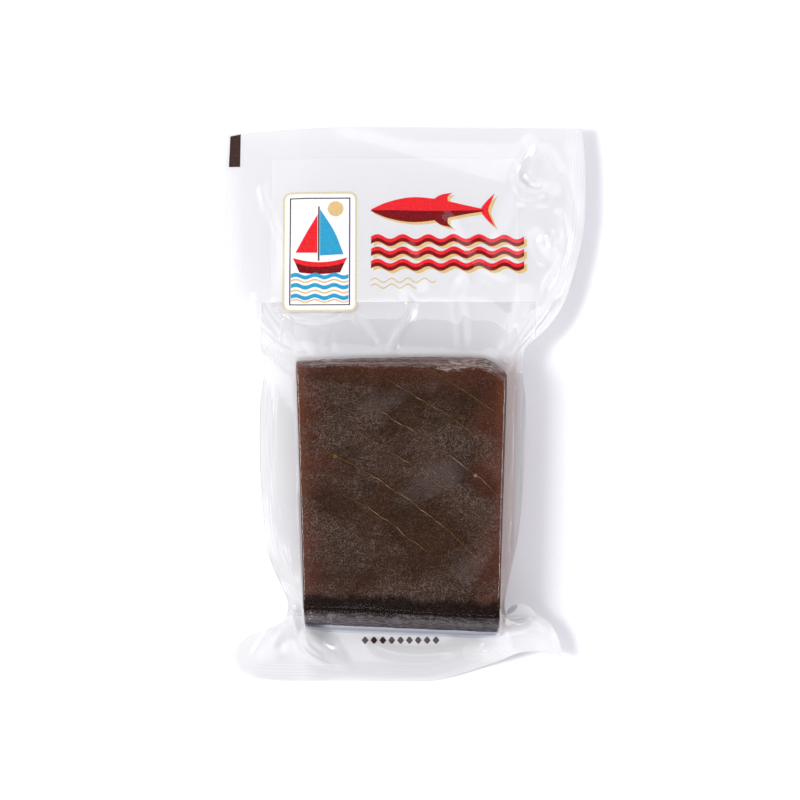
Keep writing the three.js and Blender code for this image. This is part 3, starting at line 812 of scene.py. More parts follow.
def within(add, value, low, high, soft):
    """1 where a value lies between low and high, with a soft edge."""
    rising = add("MapRange", {0: value, 1: low - soft, 2: low + soft})
    falling = add("MapRange", {0: value, 1: high + soft, 2: high - soft})
    return add("Math", {0: rising, 1: falling}, operation="MULTIPLY")


def film_ripple(add, place, slack):
    """The film's unevenness: ripples some millimetres long, deeper where it is slack, and finer texture."""
    broad = add("TexNoise", {"Vector": place, "Scale": 1 / 9, "Detail": 3.0, "Roughness": 0.45})
    ripple = add("Bump", {"Strength": slack, "Distance": 0.0016, "Height": broad})
    fine = add("TexNoise", {"Vector": place, "Scale": 1 / 1.6})
    return add("Bump", {"Strength": 0.05, "Distance": 0.0003, "Height": fine, "Normal": ripple})


def seal_ribs(add, normal):
    """The heat seal leaves fine ribs along the sealed edges."""
    from_rim = add("Attribute", {}, "Fac", attribute_name="from_rim")
    turns = add("Math", {0: from_rim, 1: 2 * math.pi / RIB_SPACING}, operation="MULTIPLY")
    ribs = add("Math", {0: turns}, operation="SINE")
    sealed = add("Math", {0: ribs, 1: within(add, from_rim, 1.0, SEAL_WIDTH, 1.0)}, operation="MULTIPLY")
    return add("Bump", {"Strength": 0.35, "Distance": 0.00006, "Height": sealed, "Normal": normal})


def finish_film(add, looks, milk, white, place):
    """Lays a film's gloss over its body, which is milky where it is pigmented or printed white."""
    # Where the film lies on the fish it is taut, and only one of its faces reflects
    loose = add("Attribute", {}, "Fac", attribute_name="loose")
    ribs = seal_ribs(add, film_ripple(add, place, add("MapRange", {0: loose, 3: 0.02, 4: 0.05})))
    clear = add("BsdfTransparent", {"Color": linear(looks.clear_hex)})
    face = add("BsdfDiffuse", {"Color": white, "Normal": ribs})
    through = add("BsdfTranslucent", {"Color": white, "Normal": ribs})
    milky = add("MixShader", {0: 0.4, 1: face, 2: through})
    body = add("MixShader", {0: milk, 1: clear, 2: milky})
    bounce = add("Fresnel", {"IOR": FILM_IOR, "Normal": ribs})
    bounce = add("MapRange", {0: bounce, 1: 0.0, 2: looks.most_gloss, 4: looks.most_gloss * looks.gloss})
    faces = add("MapRange", {0: loose, 3: 0.15, 4: 1.0})
    bounce = add("Math", {0: bounce, 1: faces}, operation="MULTIPLY")
    gloss = add("BsdfGlossy", {"Roughness": looks.film_roughness, "Normal": ribs}, distribution="GGX")
    surface = add("MixShader", {0: bounce, 1: body, 2: gloss})
    add("OutputMaterial", {"Surface": surface})


def make_front_film(looks):
    """Polyamide and polyethylene laminate: clear and glossy, with white ink behind it outside the window."""
    material, add = new_material("Printed clear laminate")
    place = millimetres(add)
    finish_film(add, looks, ink_density(add, place, looks), linear(looks.ink_white_hex), place)
    return material


def make_white_film(name, looks, with_block_shade):
    """The same laminate pigmented white right through, or also with painted shade beside the fish, warmed by
    light bounced off it, and painted bluish shade in the fold at its near foot.
    """
    material, add = new_material(name)
    place = millimetres(add)
    white = linear(looks.back_white_hex)
    if not with_block_shade:
        finish_film(add, looks, looks.back_milk, white, place)
        return material

    across, along = (add("SeparateXYZ", {0: place}, side) for side in "XY")
    # How far a point lies outside the right side, with the taper of the block
    taper = (HALF_FAR - HALF_NEAR) / (FAR_Y - NEAR_Y)
    start = BLOCK_MID_X + HALF_NEAR - taper * NEAR_Y
    side = add("Math", {0: along, 1: -taper, 2: across}, operation="MULTIPLY_ADD")
    edge = start + BLOCK_SHADE_WIDTH
    # Painted shade, warmed by light bounced off the fish, on the film along its right side, fading outwards
    block_shade = add("MapRange", {0: side, 1: edge + BLOCK_SHADE_FADE, 2: edge}, **SOFTLY)
    block_shade = add("Math", {0: within(add, along, NEAR_Y, FAR_Y, 3.0), 1: block_shade}, operation="MULTIPLY")
    block_shade = add("Math", {0: block_shade, 1: add("MapRange", {0: across, 1: 0.0, 2: 20.0})}, operation="MULTIPLY")
    colour = add("Mix", {0: block_shade, 6: white, 7: linear(looks.block_shade_hex)}, **COLOURS)
    # Painted bluish shade in the fold at the block's near foot
    foot = at_foot(add, across, along, NEAR_Y + 1)
    colour = add("Mix", {0: foot, 6: colour, 7: linear(looks.foot_shade_hex)}, **COLOURS)
    finish_film(add, looks, looks.back_milk, colour, place)
    return material


def past_near_end(add, across, along):
    """The place along the block, measured so that its slanting near end is at the same value all over."""
    return add("Math", {0: across, 1: -NEAR_SKEW / HALF_NEAR, 2: along}, operation="MULTIPLY_ADD")


def at_foot(add, across, along, far):
    """1 in the window's foot: as wide as the block, from a little below its near end up to some place."""
    end = past_near_end(add, across, along)
    wide = within(add, across, BLOCK_MID_X - HALF_NEAR, BLOCK_MID_X + HALF_NEAR, 0.15)
    long = within(add, end, NEAR_Y - FOOT_WIDTH, far, INK_BLUR)
    return add("Math", {0: wide, 1: long}, operation="MULTIPLY")


def in_rectangle(add, across, along, left, low, right, high):
    beside = within(add, across, left, right, INK_BLUR)
    return add("Math", {0: beside, 1: within(add, along, low, high, INK_BLUR)}, operation="MULTIPLY")


def ink_density(add, place, looks):
    """White ink everywhere outside the window, and a denser panel of it behind the printed motifs."""
    across, along = (add("SeparateXYZ", {0: place}, side) for side in "XY")
    window = in_rectangle(add, across, along, WINDOW_LEFT, WINDOW_NECK, WINDOW_RIGHT, WINDOW_HEAD)
    foot = at_foot(add, across, along, WINDOW_NECK + 3)
    window = add("Math", {0: window, 1: foot}, operation="MAXIMUM")
    panel = in_rectangle(add, across, along, PANEL_LEFT, WINDOW_HEAD, PANEL_RIGHT, PANEL_HEAD)
    inked = add("MapRange", {0: panel, 3: looks.white_ink, 4: looks.panel_ink})
    return add("Mix", {0: window, 2: inked, 3: looks.clear_haze}, data_type="FLOAT")


def make_ink(name, hex_colour, looks):
    """Flexo ink behind the film: flat colour, thinner in places, under the film's gloss."""
    material, add = new_material(name)
    place = millimetres(add)
    normal = film_ripple(add, place, 0.12)
    thin = add("TexNoise", {"Vector": place, "Scale": 1 / 0.9, "Detail": 3.0, "Roughness": 0.6})
    thin = add("MapRange", {0: thin, 1: 0.4, 2: 0.75}, **SOFTLY)
    deep = linear(hex_colour)
    pale = tuple(min(1, c * 1.1 + 0.01) for c in deep[:3]) + (1.0,)
    links = {
        "Base Color": add("Mix", {0: thin, 6: deep, 7: pale}, **COLOURS),
        "Roughness": 0.5,
        "Specular IOR Level": 0.0,
        "Coat Weight": 1.0,
        "Coat Roughness": looks.film_roughness,
        "Coat IOR": FILM_IOR,
        "Coat Normal": normal,
        "Normal": normal,
    }
    add("OutputMaterial", {"Surface": add("BsdfPrincipled", links)})
    return material


def make_flesh(looks):
    """Salted and dried tuna loin: dense dark brown meat, redder where it is thin, under a grey bloom from the
    salting, with painted glints in its grain and painted sheen on its near cut and far ledge.
    """
    material, add = new_material("Dried tuna loin")
    place = millimetres(add)
    across, along = (add("SeparateXYZ", {0: place}, side) for side in "XY")

    # Uneven patterns, with the size of their lumps in millimetres, their detail and their roughness
    patterns = ((16, 4, 0.6), (4, 4, 0.6), (13, 4, 0.55), (0.42, 1, 0.6), (1.7, 3, 0.6), (0.9, 2, 0.7))
    wander, frayed, mottle, cells, lumps, glint_flecks = (
        add("TexNoise", {"Vector": place, "Scale": 1 / size, "Detail": detail, "Roughness": roughness})
        for size, detail, roughness in patterns
    )
    meat = bare_meat(add, looks, across, along, wander, frayed, mottle)

    # The near edge, where the film is stretched tight: the meat looks wet and almost black
    end = past_near_end(add, across, along)
    tight = add("Math", {0: wander, 1: 5.0, 2: end}, operation="MULTIPLY_ADD")
    tight = add("Math", {0: frayed, 1: 5.0, 2: tight}, operation="MULTIPLY_ADD")
    wet = add("MapRange", {0: tight, 1: NEAR_Y + 14.8, 2: NEAR_Y + 11.4, 4: 0.94}, **SOFTLY)
    meat = add("Mix", {0: wet, 6: meat, 7: linear(looks.wet_hex)}, **COLOURS)

    meat, grain = under_bloom(add, looks, meat, place, wet, cells, lumps)
    # Sparse flecks of painted glint
    glint_flecks = add("MapRange", {0: glint_flecks, 1: 0.68, 2: 0.76, 4: 0.3})
    meat = add("Mix", {0: glint_flecks, 6: meat, 7: linear(looks.glint_fleck_hex)}, **COLOURS)
    # Pale fibres on the far ledge, with painted sheen
    ledge = ledge_fibres_and_sheen(add, place, across, along, wander, frayed)
    meat = add("Mix", {0: ledge, 6: meat, 7: linear(looks.ledge_sheen_hex)}, **COLOURS)
    # Painted grey sheen and glints on the near cut
    meat = cut_sheen_and_glints(add, looks, meat, place, across, end, frayed)

    relief = add("Math", {0: ledge, 1: 1.5, 2: grain}, operation="MULTIPLY_ADD")
    bump = add("Bump", {"Strength": 0.4, "Distance": 0.0002, "Height": relief})
    links = {"Base Color": meat, "Roughness": 0.55, "Specular IOR Level": 0.03, "Normal": bump}
    add("OutputMaterial", {"Surface": add("BsdfPrincipled", links)})
    return material


def bare_meat(add, looks, across, along, wander, frayed, mottle):
    """Olive brown in the middle, and red brown where it is thin along its sides and far end."""
    olive = add("MapRange", {0: mottle, 1: 0.38, 2: 0.62}, **SOFTLY)
    meat = add("Mix", {0: olive, 6: linear(looks.meat_hex), 7: linear(looks.olive_hex)}, **COLOURS)
    off = add("Math", {0: across, 1: BLOCK_MID_X}, operation="SUBTRACT")
    off_middle = add("Math", {0: off}, operation="ABSOLUTE")
    off = add("Math", {0: wander, 1: 26.0, 2: off_middle}, operation="MULTIPLY_ADD")
    side = add("MapRange", {0: off, 1: 36.0, 2: 50.0}, **SOFTLY)
    off = add("Math", {0: wander, 1: 22.0, 2: along}, operation="MULTIPLY_ADD")
    off = add("Math", {0: across, 1: 0.12, 2: off}, operation="MULTIPLY_ADD")
    far = add("MapRange", {0: off, 1: FAR_Y - 5, 2: FAR_Y + 9}, **SOFTLY)
    thin = add("Math", {0: side, 1: far}, operation="MAXIMUM")
    meat = add("Mix", {0: thin, 6: meat, 7: linear(looks.edge_hex)}, **COLOURS)
    off = add("Math", {0: frayed, 1: 4.0, 2: off_middle}, operation="MULTIPLY_ADD")
    rim = add("MapRange", {0: off, 1: 34.0, 2: 40.0, 4: 0.6}, **SOFTLY)
    return add("Mix", {0: rim, 6: meat, 7: linear(looks.rim_hex)}, **COLOURS)


def under_bloom(add, looks, meat, place, wet, cells, lumps):
    """Grey bloom where the film stands off the meat: a faint haze, with specks and short fibres in it, whose
    light colour is partly painted glints.
    """
    dry = add("MapRange", {0: wet, 3: 1.0, 4: 0.0})
    bloom = add("Math", {0: bloom_share(add, place), 1: dry}, operation="MULTIPLY")
    haze = add("Math", {0: bloom, 1: looks.bloom}, operation="MULTIPLY")
    meat = add("Mix", {0: haze, 6: meat, 7: linear(looks.bloom_hex)}, **COLOURS)
    cells = add("MapRange", {0: cells, 1: 0.46, 2: 0.72})
    lumps = add("MapRange", {0: lumps, 1: 0.36, 2: 0.68, 3: 0.4, 4: 0.9})
    grain = add("Math", {0: fibres(add, place), 1: 0.4, 2: cells}, operation="MULTIPLY_ADD")
    grain = add("Math", {0: grain, 1: lumps}, operation="MULTIPLY")
    least = add("MapRange", {0: wet, 3: looks.grain * 0.35, 4: looks.grain * 0.15})
    shown = add("MapRange", {0: bloom, 3: least, 4: looks.grain})
    shown = add("Math", {0: grain, 1: shown}, operation="MULTIPLY")
    return add("Mix", {0: shown, 6: meat, 7: linear(looks.strand_and_glint_hex)}, **COLOURS), grain


def ledge_fibres_and_sheen(add, place, across, along, wander, frayed):
    """Where the worn far edge is pale: in streaks of drawn out fibres along it, with painted sheen of its
    grazing rounded edge in them, fewer in its middle.
    """
    leaning = add("Math", {0: across, 1: 0.034, 2: along}, operation="MULTIPLY_ADD")
    leaning = add("Math", {0: frayed, 1: 6.5, 2: leaning}, operation="MULTIPLY_ADD")
    ledge = add("MapRange", {0: leaning, 1: FAR_Y - 2.3, 2: FAR_Y - 0.6}, **SOFTLY)
    links = {"Vector": place, "Rotation": (0, 0, math.radians(-2)), "Scale": (4, 0.5, 0.5)}
    stretched = add("Mapping", links, vector_type="TEXTURE")
    streaks = add("TexNoise", {"Vector": stretched, "Scale": 1.0, "Detail": 4.0, "Roughness": 0.75})
    streaks = add("MapRange", {0: streaks, 1: 0.44, 2: 0.6}, **SOFTLY)
    middle = add("Math", {0: across, 1: LEDGE_DARK_X}, operation="SUBTRACT")
    middle = add("Math", {0: middle}, operation="ABSOLUTE")
    middle = add("Math", {0: wander, 1: 16.0, 2: middle}, operation="MULTIPLY_ADD")
    pale = add("MapRange", {0: middle, 1: 20.0, 2: 34.0, 3: 0.3, 4: 1.0}, **SOFTLY)
    streaks = add("Math", {0: streaks, 1: pale}, operation="MULTIPLY")
    return add("Math", {0: ledge, 1: streaks}, operation="MULTIPLY")


def cut_sheen_and_glints(add, looks, meat, place, across, end, frayed):
    """Painted grey sheen of the film over the near cut, grainy and less to the right, and a few painted
    glints, most at the left.
    """
    # Painted grey sheen of the film over the near cut, in grains
    sheened = add("Math", {0: frayed, 1: 3.0, 2: end}, operation="MULTIPLY_ADD")
    sheened = add("MapRange", {0: sheened, 1: NEAR_Y + 3.5, 2: NEAR_Y + 2.5}, **SOFTLY)
    drawn = add("Mapping", {"Vector": place, "Scale": (2.2, 1, 1.5)}, vector_type="TEXTURE")
    grey_sheen = add("TexNoise", {"Vector": drawn, "Scale": 1 / 1.3, "Detail": 5.0, "Roughness": 0.8})
    grey_sheen = add("MapRange", {0: grey_sheen, 1: 0.4, 2: 0.68, 3: 0.12, 4: 0.9}, **SOFTLY)
    spread = add("MapRange", {0: across, 1: -30.0, 2: 30.0, 3: 1.0, 4: 0.66})
    grey_sheen = add("Math", {0: grey_sheen, 1: spread}, operation="MULTIPLY")
    # Less of the painted sheen towards the top of the cut
    height = add("SeparateXYZ", {0: place}, "Z")
    worn = add("MapRange", {0: height, 1: BLOCK_THICK - 1, 2: BLOCK_THICK - 5, 3: 0.55, 4: 1.0})
    sheened = add("Math", {0: sheened, 1: worn}, operation="MULTIPLY")
    grey_sheen = add("Math", {0: sheened, 1: grey_sheen}, operation="MULTIPLY")
    meat = add("Mix", {0: grey_sheen, 6: meat, 7: linear(looks.cut_sheen_hex)}, **COLOURS)
    # Sparse painted glints, most at the left
    glints = add("TexVoronoi", {"Vector": place, "Scale": 1 / 1.9}, "Distance")
    most = add("MapRange", {0: across, 1: -18.0, 2: -34.0, 3: 0.06, 4: 0.2})
    glints = add("Math", {0: glints, 1: most}, operation="LESS_THAN")
    glints = add("Math", {0: sheened, 1: glints}, operation="MULTIPLY")
    return add("Mix", {0: glints, 6: meat, 7: linear(looks.cut_glint_hex)}, **COLOURS)


def bloom_share(add, place):
    """How much grey bloom lies on the meat's top: clouds of it, and none in the bare patches."""
    links = {"Vector": place, "Rotation": (0, 0, math.radians(25)), "Scale": (30, 17, 20)}
    stretched = add("Mapping", links, vector_type="TEXTURE")
    cloud = add("TexNoise", {"Vector": stretched, "Scale": 1.0, "Detail": 6.0, "Roughness": 0.66})
    bloom = add("MapRange", {0: cloud, 1: 0.34, 2: 0.58}, **SOFTLY)
    for patch in BARE_PATCHES:
        bloom = add("Math", {0: bloom, 1: outside_patch(add, place, *patch)}, operation="MULTIPLY")
    return bloom


def outside_patch(add, place, x, y, half_length, half_breadth, angle):
    """1 outside an oval patch with a frayed edge, and nearly 0 inside it."""
    links = {
        "Vector": place,
        "Location": (x, y, 0),
        "Rotation": (0, 0, math.radians(angle)),
        "Scale": (half_length, half_breadth, 1000),
    }
    own = add("Mapping", links, vector_type="TEXTURE")
    frayed = add("TexNoise", {"Vector": own, "Scale": 2.0, "Detail": 5.0, "Roughness": 0.7})
    off = add("VectorMath", {0: own}, "Value", operation="LENGTH")
    off = add("Math", {0: off, 1: frayed}, operation="ADD")
    return add("MapRange", {0: off, 1: 1.1, 2: 1.75, 3: 0.08, 4: 1.0}, **SOFTLY)


def fibres(add, place):
    """Short muscle fibres about 0.4 mm wide, whose lie turns slowly over the meat, and a few across them."""
    swirl = add("TexNoise", {"Vector": place, "Scale": 1 / 22}, "Color")
    swirl = add("VectorMath", {0: swirl, 1: (14, 14, 0), 2: place}, operation="MULTIPLY_ADD")
    found = []
    for angle, length in ((40, 1.2), (-35, 0.8)):
        links = {"Vector": swirl, "Rotation": (0, 0, math.radians(angle)), "Scale": (length, 0.42, 0.6)}
        stretched = add("Mapping", links, vector_type="TEXTURE")
        woven = add("TexNoise", {"Vector": stretched, "Scale": 1.0, "Detail": 2.0, "Distortion": 0.4})
        found.append(add("MapRange", {0: woven, 1: 0.5, 2: 0.7}, **SOFTLY))
    return add("Math", dict(enumerate(found)), operation="MAXIMUM")


def make_sinew(looks):
    """Collagen sheets between rings of muscle: ochre, half hidden by bloom, with a painted shadow on one side.
    """
    material, add = new_material("Ochre sinew")
    place = millimetres(add)
    side = add("SeparateXYZ", {0: add("TexCoord", {}, "UV")}, "Y")
    core = within(add, side, SINEW_CORE - 0.17, SINEW_CORE + 0.17, 0.13)
    # Painted shadow along the outer side of each line
    shade = add("MapRange", {0: side, 1: 1.0, 2: 0.45, 4: 0.6}, **SOFTLY)
    covered = add("Math", {0: core, 1: shade}, operation="MAXIMUM")
    pale = add("TexNoise", {"Vector": place, "Scale": 1 / 4, "Detail": 3.0, "Roughness": 0.6})
    pale = add("MapRange", {0: pale, 1: 0.45, 2: 0.62}, **SOFTLY)
    colours = {6: linear(looks.sinew_hex), 7: linear(looks.sinew_pale_hex)}
    colour = add("Mix", {0: pale, **colours}, **COLOURS)
    colour = add("Mix", {0: core, 6: linear(looks.sinew_shadow_hex), 7: colour}, **COLOURS)
    tissue = add("BsdfPrincipled", {"Base Color": colour, "Roughness": 0.45, "Specular IOR Level": 0.1})
    hidden = add("BsdfTransparent", {})
    seen = add("TexNoise", {"Vector": place, "Scale": 1 / 5, "Detail": 4.0, "Roughness": 0.7})
    seen = add("Math", {0: bloom_share(add, place), 1: -0.2, 2: seen}, operation="MULTIPLY_ADD")
    seen = add("MapRange", {0: seen, 1: 0.2, 2: 0.46, 3: 0.16, 4: 0.85}, **SOFTLY)
    seen = add("Math", {0: covered, 1: seen}, operation="MULTIPLY")
    add("OutputMaterial", {"Surface": add("MixShader", {0: seen, 1: hidden, 2: tissue})})
    return material


def make_paper(looks):
    """Matt white studio board, with a faint unevenness in its paper."""
    material, add = new_material("Matt white board")
    paper = add("TexNoise", {"Vector": millimetres(add), "Scale": 1 / 2})
    colours = {6: linear(looks.board_hex), 7: linear(looks.board_pale_hex)}
    colour = add("Mix", {0: paper, **colours}, **COLOURS)
    board = add("BsdfPrincipled", {"Base Color": colour, "Roughness": 0.9, "Specular IOR Level": 0.1})
    add("OutputMaterial", {"Surface": board})
    return material


# What a user may change

def tint(name, description, default):
    return bpy.props.StringProperty(name=name, description=description, default=default)


def portion(name, description, default, least=0.0):
    limits = {"min": least, "max": 1.0, "subtype": "FACTOR"}
    return bpy.props.FloatProperty(name=name, description=description, default=default, **limits)


def thickness(name, description, default):
    unit = {"unit": "LENGTH", "precision": 5}
    return bpy.props.FloatProperty(name=name, description=description, default=default, **unit)


def strength(name, description, default):
    return bpy.props.FloatProperty(name=name, description=description, default=default, min=0.0)


class MojamaFleshSettings(bpy.types.PropertyGroup):
    meat_hex: tint("Meat", "Colour of the meat", "#2c1809")
    olive_hex: tint("Olive meat", "Colour of its olive parts", "#251405")
    edge_hex: tint("Edges", "Colour where it is thin", "#401f11")
    rim_hex: tint("Rims", "Colour along its sides", "#64361d")
    bloom_hex: tint("Bloom", "Colour of the grey bloom", "#4d413b")
    # Light fibres with painted glints on them, and sparse painted glints
    strand_and_glint_hex: tint("Strands", "Colour of light fibres", "#80706a")
    glint_fleck_hex: tint("Flecks", "Colour of its flecks", "#a3958d")
    wet_hex: tint("Wet edge", "Colour of the near edge", "#0c0504")
    # Pale fibres and painted sheen on the far ledge
    ledge_sheen_hex: tint("Ledge", "Colour of the worn far edge", "#a08f89")
    # Painted grey sheen and glints of the film over the near cut
    cut_sheen_hex: tint("Dust", "Colour of the salt dust", "#938a8c")
    cut_glint_hex: tint("Salt", "Colour of grains of salt", "#c9c4c0")
    sinew_hex: tint("Sinew", "Colour of the tissue lines", "#654a24")
    sinew_pale_hex: tint("Pale sinew", "Their palest colour", "#7f6b56")
    # Painted shadow beside the tissue lines
    sinew_shadow_hex: tint("Beside sinew", "Meat beside them", "#2b1006")
    bloom: portion("Bloom share", "How much bloom covers the meat", 0.09)
    # How much the light fibres and their painted glints show
    grain: portion("Grain", "How much its light specks show", 0.68)
    relief: thickness("Relief", "Depth of the fibres' relief", 0.00022)


class MojamaFilmSettings(bpy.types.PropertyGroup):
    fineness: portion("Fineness", "Density of the front film's mesh", 1.0, 0.2)
    ink_white_hex: tint("White ink", "Colour of the ink", "#f7f7f7")
    back_white_hex: tint("White back", "Colour of the back", "#f7f7f7")
    # Painted shade, warmed by light bounced off the fish, on the back film beside it
    block_shade_hex: tint("Stain", "Colour of its oil stain", "#e6d6d0")
    # Painted bluish shade in the fold at the block's near foot
    foot_shade_hex: tint("Foot", "Colour of its fold at the near end", "#e9eef8")
    gather_hex: tint("Gathers", "Where it is gathered", "#f3efe6")
    # Painted shade in the hollow of the gathered film
    hollow_shade_hex: tint("Hollow", "Hollow in the gathers", "#bdbbc0")
    clear_hex: tint("Clear film", "What it lets through", "#fefefe")
    white_ink: portion("Ink", "Share of light that the white ink stops", 0.78)
    panel_ink: portion("Panel ink", "The same for the denser panel", 0.92)
    clear_haze: portion("Haze", "Share of light that the clear film scatters", 0.001)
    back_milk: portion("Back", "Share of light that the pigmented back film stops", 0.85)
    gloss: strength("Gloss", "Reflections of the film's two faces, against one", 2.0)
    most_gloss: portion("Most gloss", "Reflection of the film seen edge on", 0.06)
    film_roughness: portion("Roughness", "Roughness of the film", 0.04)
    edge_radius: thickness("Edge", "Half thickness of the sealed edge", 0.00018)


class MojamaPrintSettings(bpy.types.PropertyGroup):
    red_hex: tint("Red", "Red ink", "#d8262c")
    deep_red_hex: tint("Deep red", "Dark red ink", "#6f1318")
    gold_hex: tint("Gold", "Gold ink", "#cdb078")
    blue_hex: tint("Blue", "Blue ink", "#2f93b8")
    dark_hex: tint("Dark", "Dark brown ink", "#38251f")
    cream_hex: tint("Cream", "Edge of the card", "#cabf9d")
    card_hex: tint("Card", "Face of the card", "#e4e4e8")


class MojamaStageSettings(bpy.types.PropertyGroup):
    key_power: bpy.props.FloatProperty(name="Key", description="The key light", default=14.3, unit="POWER")
    zenith: strength("Zenith", "Strength of the light overhead", 0.04)
    walls: strength("Walls", "Strength of the light from all round", 0.49)
    boxes: strength("Softboxes", "Strength of the softboxes, against one", 0.76)
    sky_hex: tint("Sky", "Colour of the light from the sky", "#f7f6fe")
    board_hex: tint("Board", "Colour of the board", "#f4f4f5")
    board_pale_hex: tint("Pale board", "Its palest colour", "#f7f7f8")


# The steps

class MOJAMA_OT_stage(bpy.types.Operator):
    """Sets up the camera, the floor and the soft light"""

    bl_idname = "mojama.stage"
    bl_label = "Stage"

    def execute(self, context):
        looks = context.scene.mojama_stage
        make_camera(context)
        make_board(looks)
        make_key_light(looks)
        make_sky(context, looks)
        context.scene.view_settings.view_transform = "Standard"
        return {"FINISHED"}


def make_camera(context):
    elevation = math.radians(VIEW_ELEVATION)
    target = Vector(VIEW_TARGET) * MM
    back = Vector((0, -math.cos(elevation), math.sin(elevation)))
    camera = bpy.data.cameras.new("Camera")
    camera.sensor_width = 36
    camera.lens = camera.sensor_width * VIEW_DISTANCE / VIEW_WIDTH
    holder = bpy.data.objects.new("Camera", camera)
    context.scene.collection.objects.link(holder)
    holder.location = target + back * VIEW_DISTANCE * MM
    holder.rotation_euler = (-back).to_track_quat("-Z", "Y").to_euler()
    context.scene.camera = holder


def make_board(looks):
    bpy.ops.object.select_all(action="DESELECT")
    bpy.ops.mesh.primitive_plane_add(size=BOARD_SIZE)
    board = bpy.context.object
    board.name = "board"
    move_points(board, points_of(board) - np.array([0, 0, BOARD_DROP * MM]))
    board.data.materials.append(make_paper(looks))


def make_key_light(looks):
    light = bpy.data.lights.new("Key", "AREA")
    light.shape = "RECTANGLE"
    light.size, light.size_y = KEY_SIZE
    light.energy = looks.key_power
    holder = bpy.data.objects.new("Key", light)
    bpy.context.scene.collection.objects.link(holder)
    holder.location = KEY_PLACE
    holder.visible_glossy = False
    holder.rotation_euler = Vector(KEY_PLACE).to_track_quat("Z", "Y").to_euler()


def make_sky(context, looks):
    world = bpy.data.worlds.new("Sky")
    context.scene.world = world
    world.use_nodes = True
    add = adder(world.node_tree)
    toward = add("TexCoord", {}, "Generated")
    height = add("SeparateXYZ", {0: toward}, "Z")
    high = add("Math", {0: height, 1: 0.05}, operation="MAXIMUM")
    across = add("Math", {0: add("SeparateXYZ", {0: toward}, "X"), 1: high}, operation="DIVIDE")
    along = add("Math", {0: add("SeparateXYZ", {0: toward}, "Y"), 1: high}, operation="DIVIDE")
    light = add("MapRange", {0: height, 1: 0.95, 2: 0.6, 3: looks.zenith, 4: looks.walls})
    for left, right, near, far, lean, power in SOFTBOXES:
        leaning = add("Math", {0: across, 1: lean, 2: along}, operation="MULTIPLY_ADD")
        box = within(add, leaning, near, far, 0.01)
        box = add("Math", {0: box, 1: within(add, across, left, right, 0.01)}, operation="MULTIPLY")
        light = add("Math", {0: box, 1: power * looks.boxes, 2: light}, operation="MULTIPLY_ADD")
    background = add("Background", {0: linear(looks.sky_hex), 1: light})
    add("OutputWorld", {0: background})


class MOJAMA_OT_flesh(bpy.types.Operator):
    """Shapes the block of dried tuna"""

    bl_idname = "mojama.flesh"
    bl_label = "Block of tuna"

    def execute(self, context):
        looks = context.scene.mojama_flesh
        bpy.ops.object.select_all(action="DESELECT")
        bpy.ops.mesh.primitive_cube_add(size=2)
        block = context.object
        block.name = "mojama_flesh"
        block.data.name = "mojama_flesh"
        bpy.ops.object.mode_set(mode="EDIT")
        bpy.ops.mesh.select_all(action="SELECT")
        bpy.ops.mesh.subdivide(number_cuts=BLOCK_CUTS)
        bpy.ops.object.mode_set(mode="OBJECT")
        points = block_points(points_of(block))
        move_points(block, points * MM)
        roughen_flesh(block, looks.relief / MM)
        bpy.ops.object.shade_smooth()
        settle(block, make_flesh(looks), *FISH)
        lines = [sinew_line(*ring, seed) for seed, ring in enumerate(RINGS)]
        lines += [sinew_knot(*knot) for knot in SINEW_KNOTS]
        lines = joined("sinew_lines", lines)
        settle(lines, make_sinew(looks), *FISH)
        return {"FINISHED"}


def sinew_line(radius, start, end, seed):
    """A thin wavering strip on the meat along one ring of muscle, with the tissue inside it."""
    count = int(abs(end - start) * radius * math.pi / 180 / SINEW_STEP)
    turns = np.radians(np.linspace(start, end, count + 1))
    along = np.stack([radius * turns, np.full(count + 1, 7.3 * seed), np.zeros(count + 1)], axis=-1)
    waver = 0.7 * noise_at(along, 9.0, 5.0) + 0.4 * noise_at(along, 2.0, 9.0)
    taper = np.sqrt(np.clip(np.minimum(np.linspace(0, 8, count + 1), np.linspace(8, 0, count + 1)), 0.02, 1))
    width = SINEW_WIDTH * taper * (0.8 + 0.5 * noise_at(along, 3.0, 40.0))
    sides = []
    for off in (waver - SINEW_CORE * width, waver + (1 - SINEW_CORE) * width):
        x = RING_CENTRE[0] + (radius + off) * np.cos(turns)
        y = RING_CENTRE[1] + (radius + off) * np.sin(turns)
        sides.append(list(zip(x, y)))
    return printed("sinew", *sides, (count, 2), 0.04, target="mojama_flesh")


def sinew_knot(x, y, radius):
    """A small round lump of the tissue."""
    knot = printed("knot", *disc_sides(x, y, radius), (6, 3), 0.05, target="mojama_flesh")
    for corner in knot.data.uv_layers.active.data:
        corner.uv = (0.5, SINEW_CORE)
    return knot


def block_points(cube):
    """Points of a cube from -1 to 1 as points of the block."""
    cells = BLOCK_CUTS + 1
    lines = np.round((cube + 1) / 2 * cells).astype(int)
    side_cells, end_cells = BLOCK_ROUND
    across = shares_across(0, side_cells, cells - 2 * side_cells)
    along = shares_along(0, end_cells, cells - 2 * end_cells)
    x, y = plan_point(across[lines[:, 0]], along[lines[:, 1]], 0)
    _, _, _, rounding = locate(x, y, 0)
    outer = (np.abs(cube[:, 0]) > 0.999) | (np.abs(cube[:, 1]) > 0.999)
    top = np.where(outer, BLOCK_THICK - rounding, top_of_block(x, y, 0))
    share = (cube[:, 2] + 1) / 2
    drawn_in = np.clip(1 - share * 12, 0, 1)
    x = BLOCK_MID_X + (x - BLOCK_MID_X) * (1 - drawn_in * BASE_CHAMFER / HALF_FAR)
    y = MID_Y + (y - MID_Y) * (1 - drawn_in * BASE_CHAMFER / HALF_LENGTH)
    return np.stack([x, y, share * top], axis=-1)


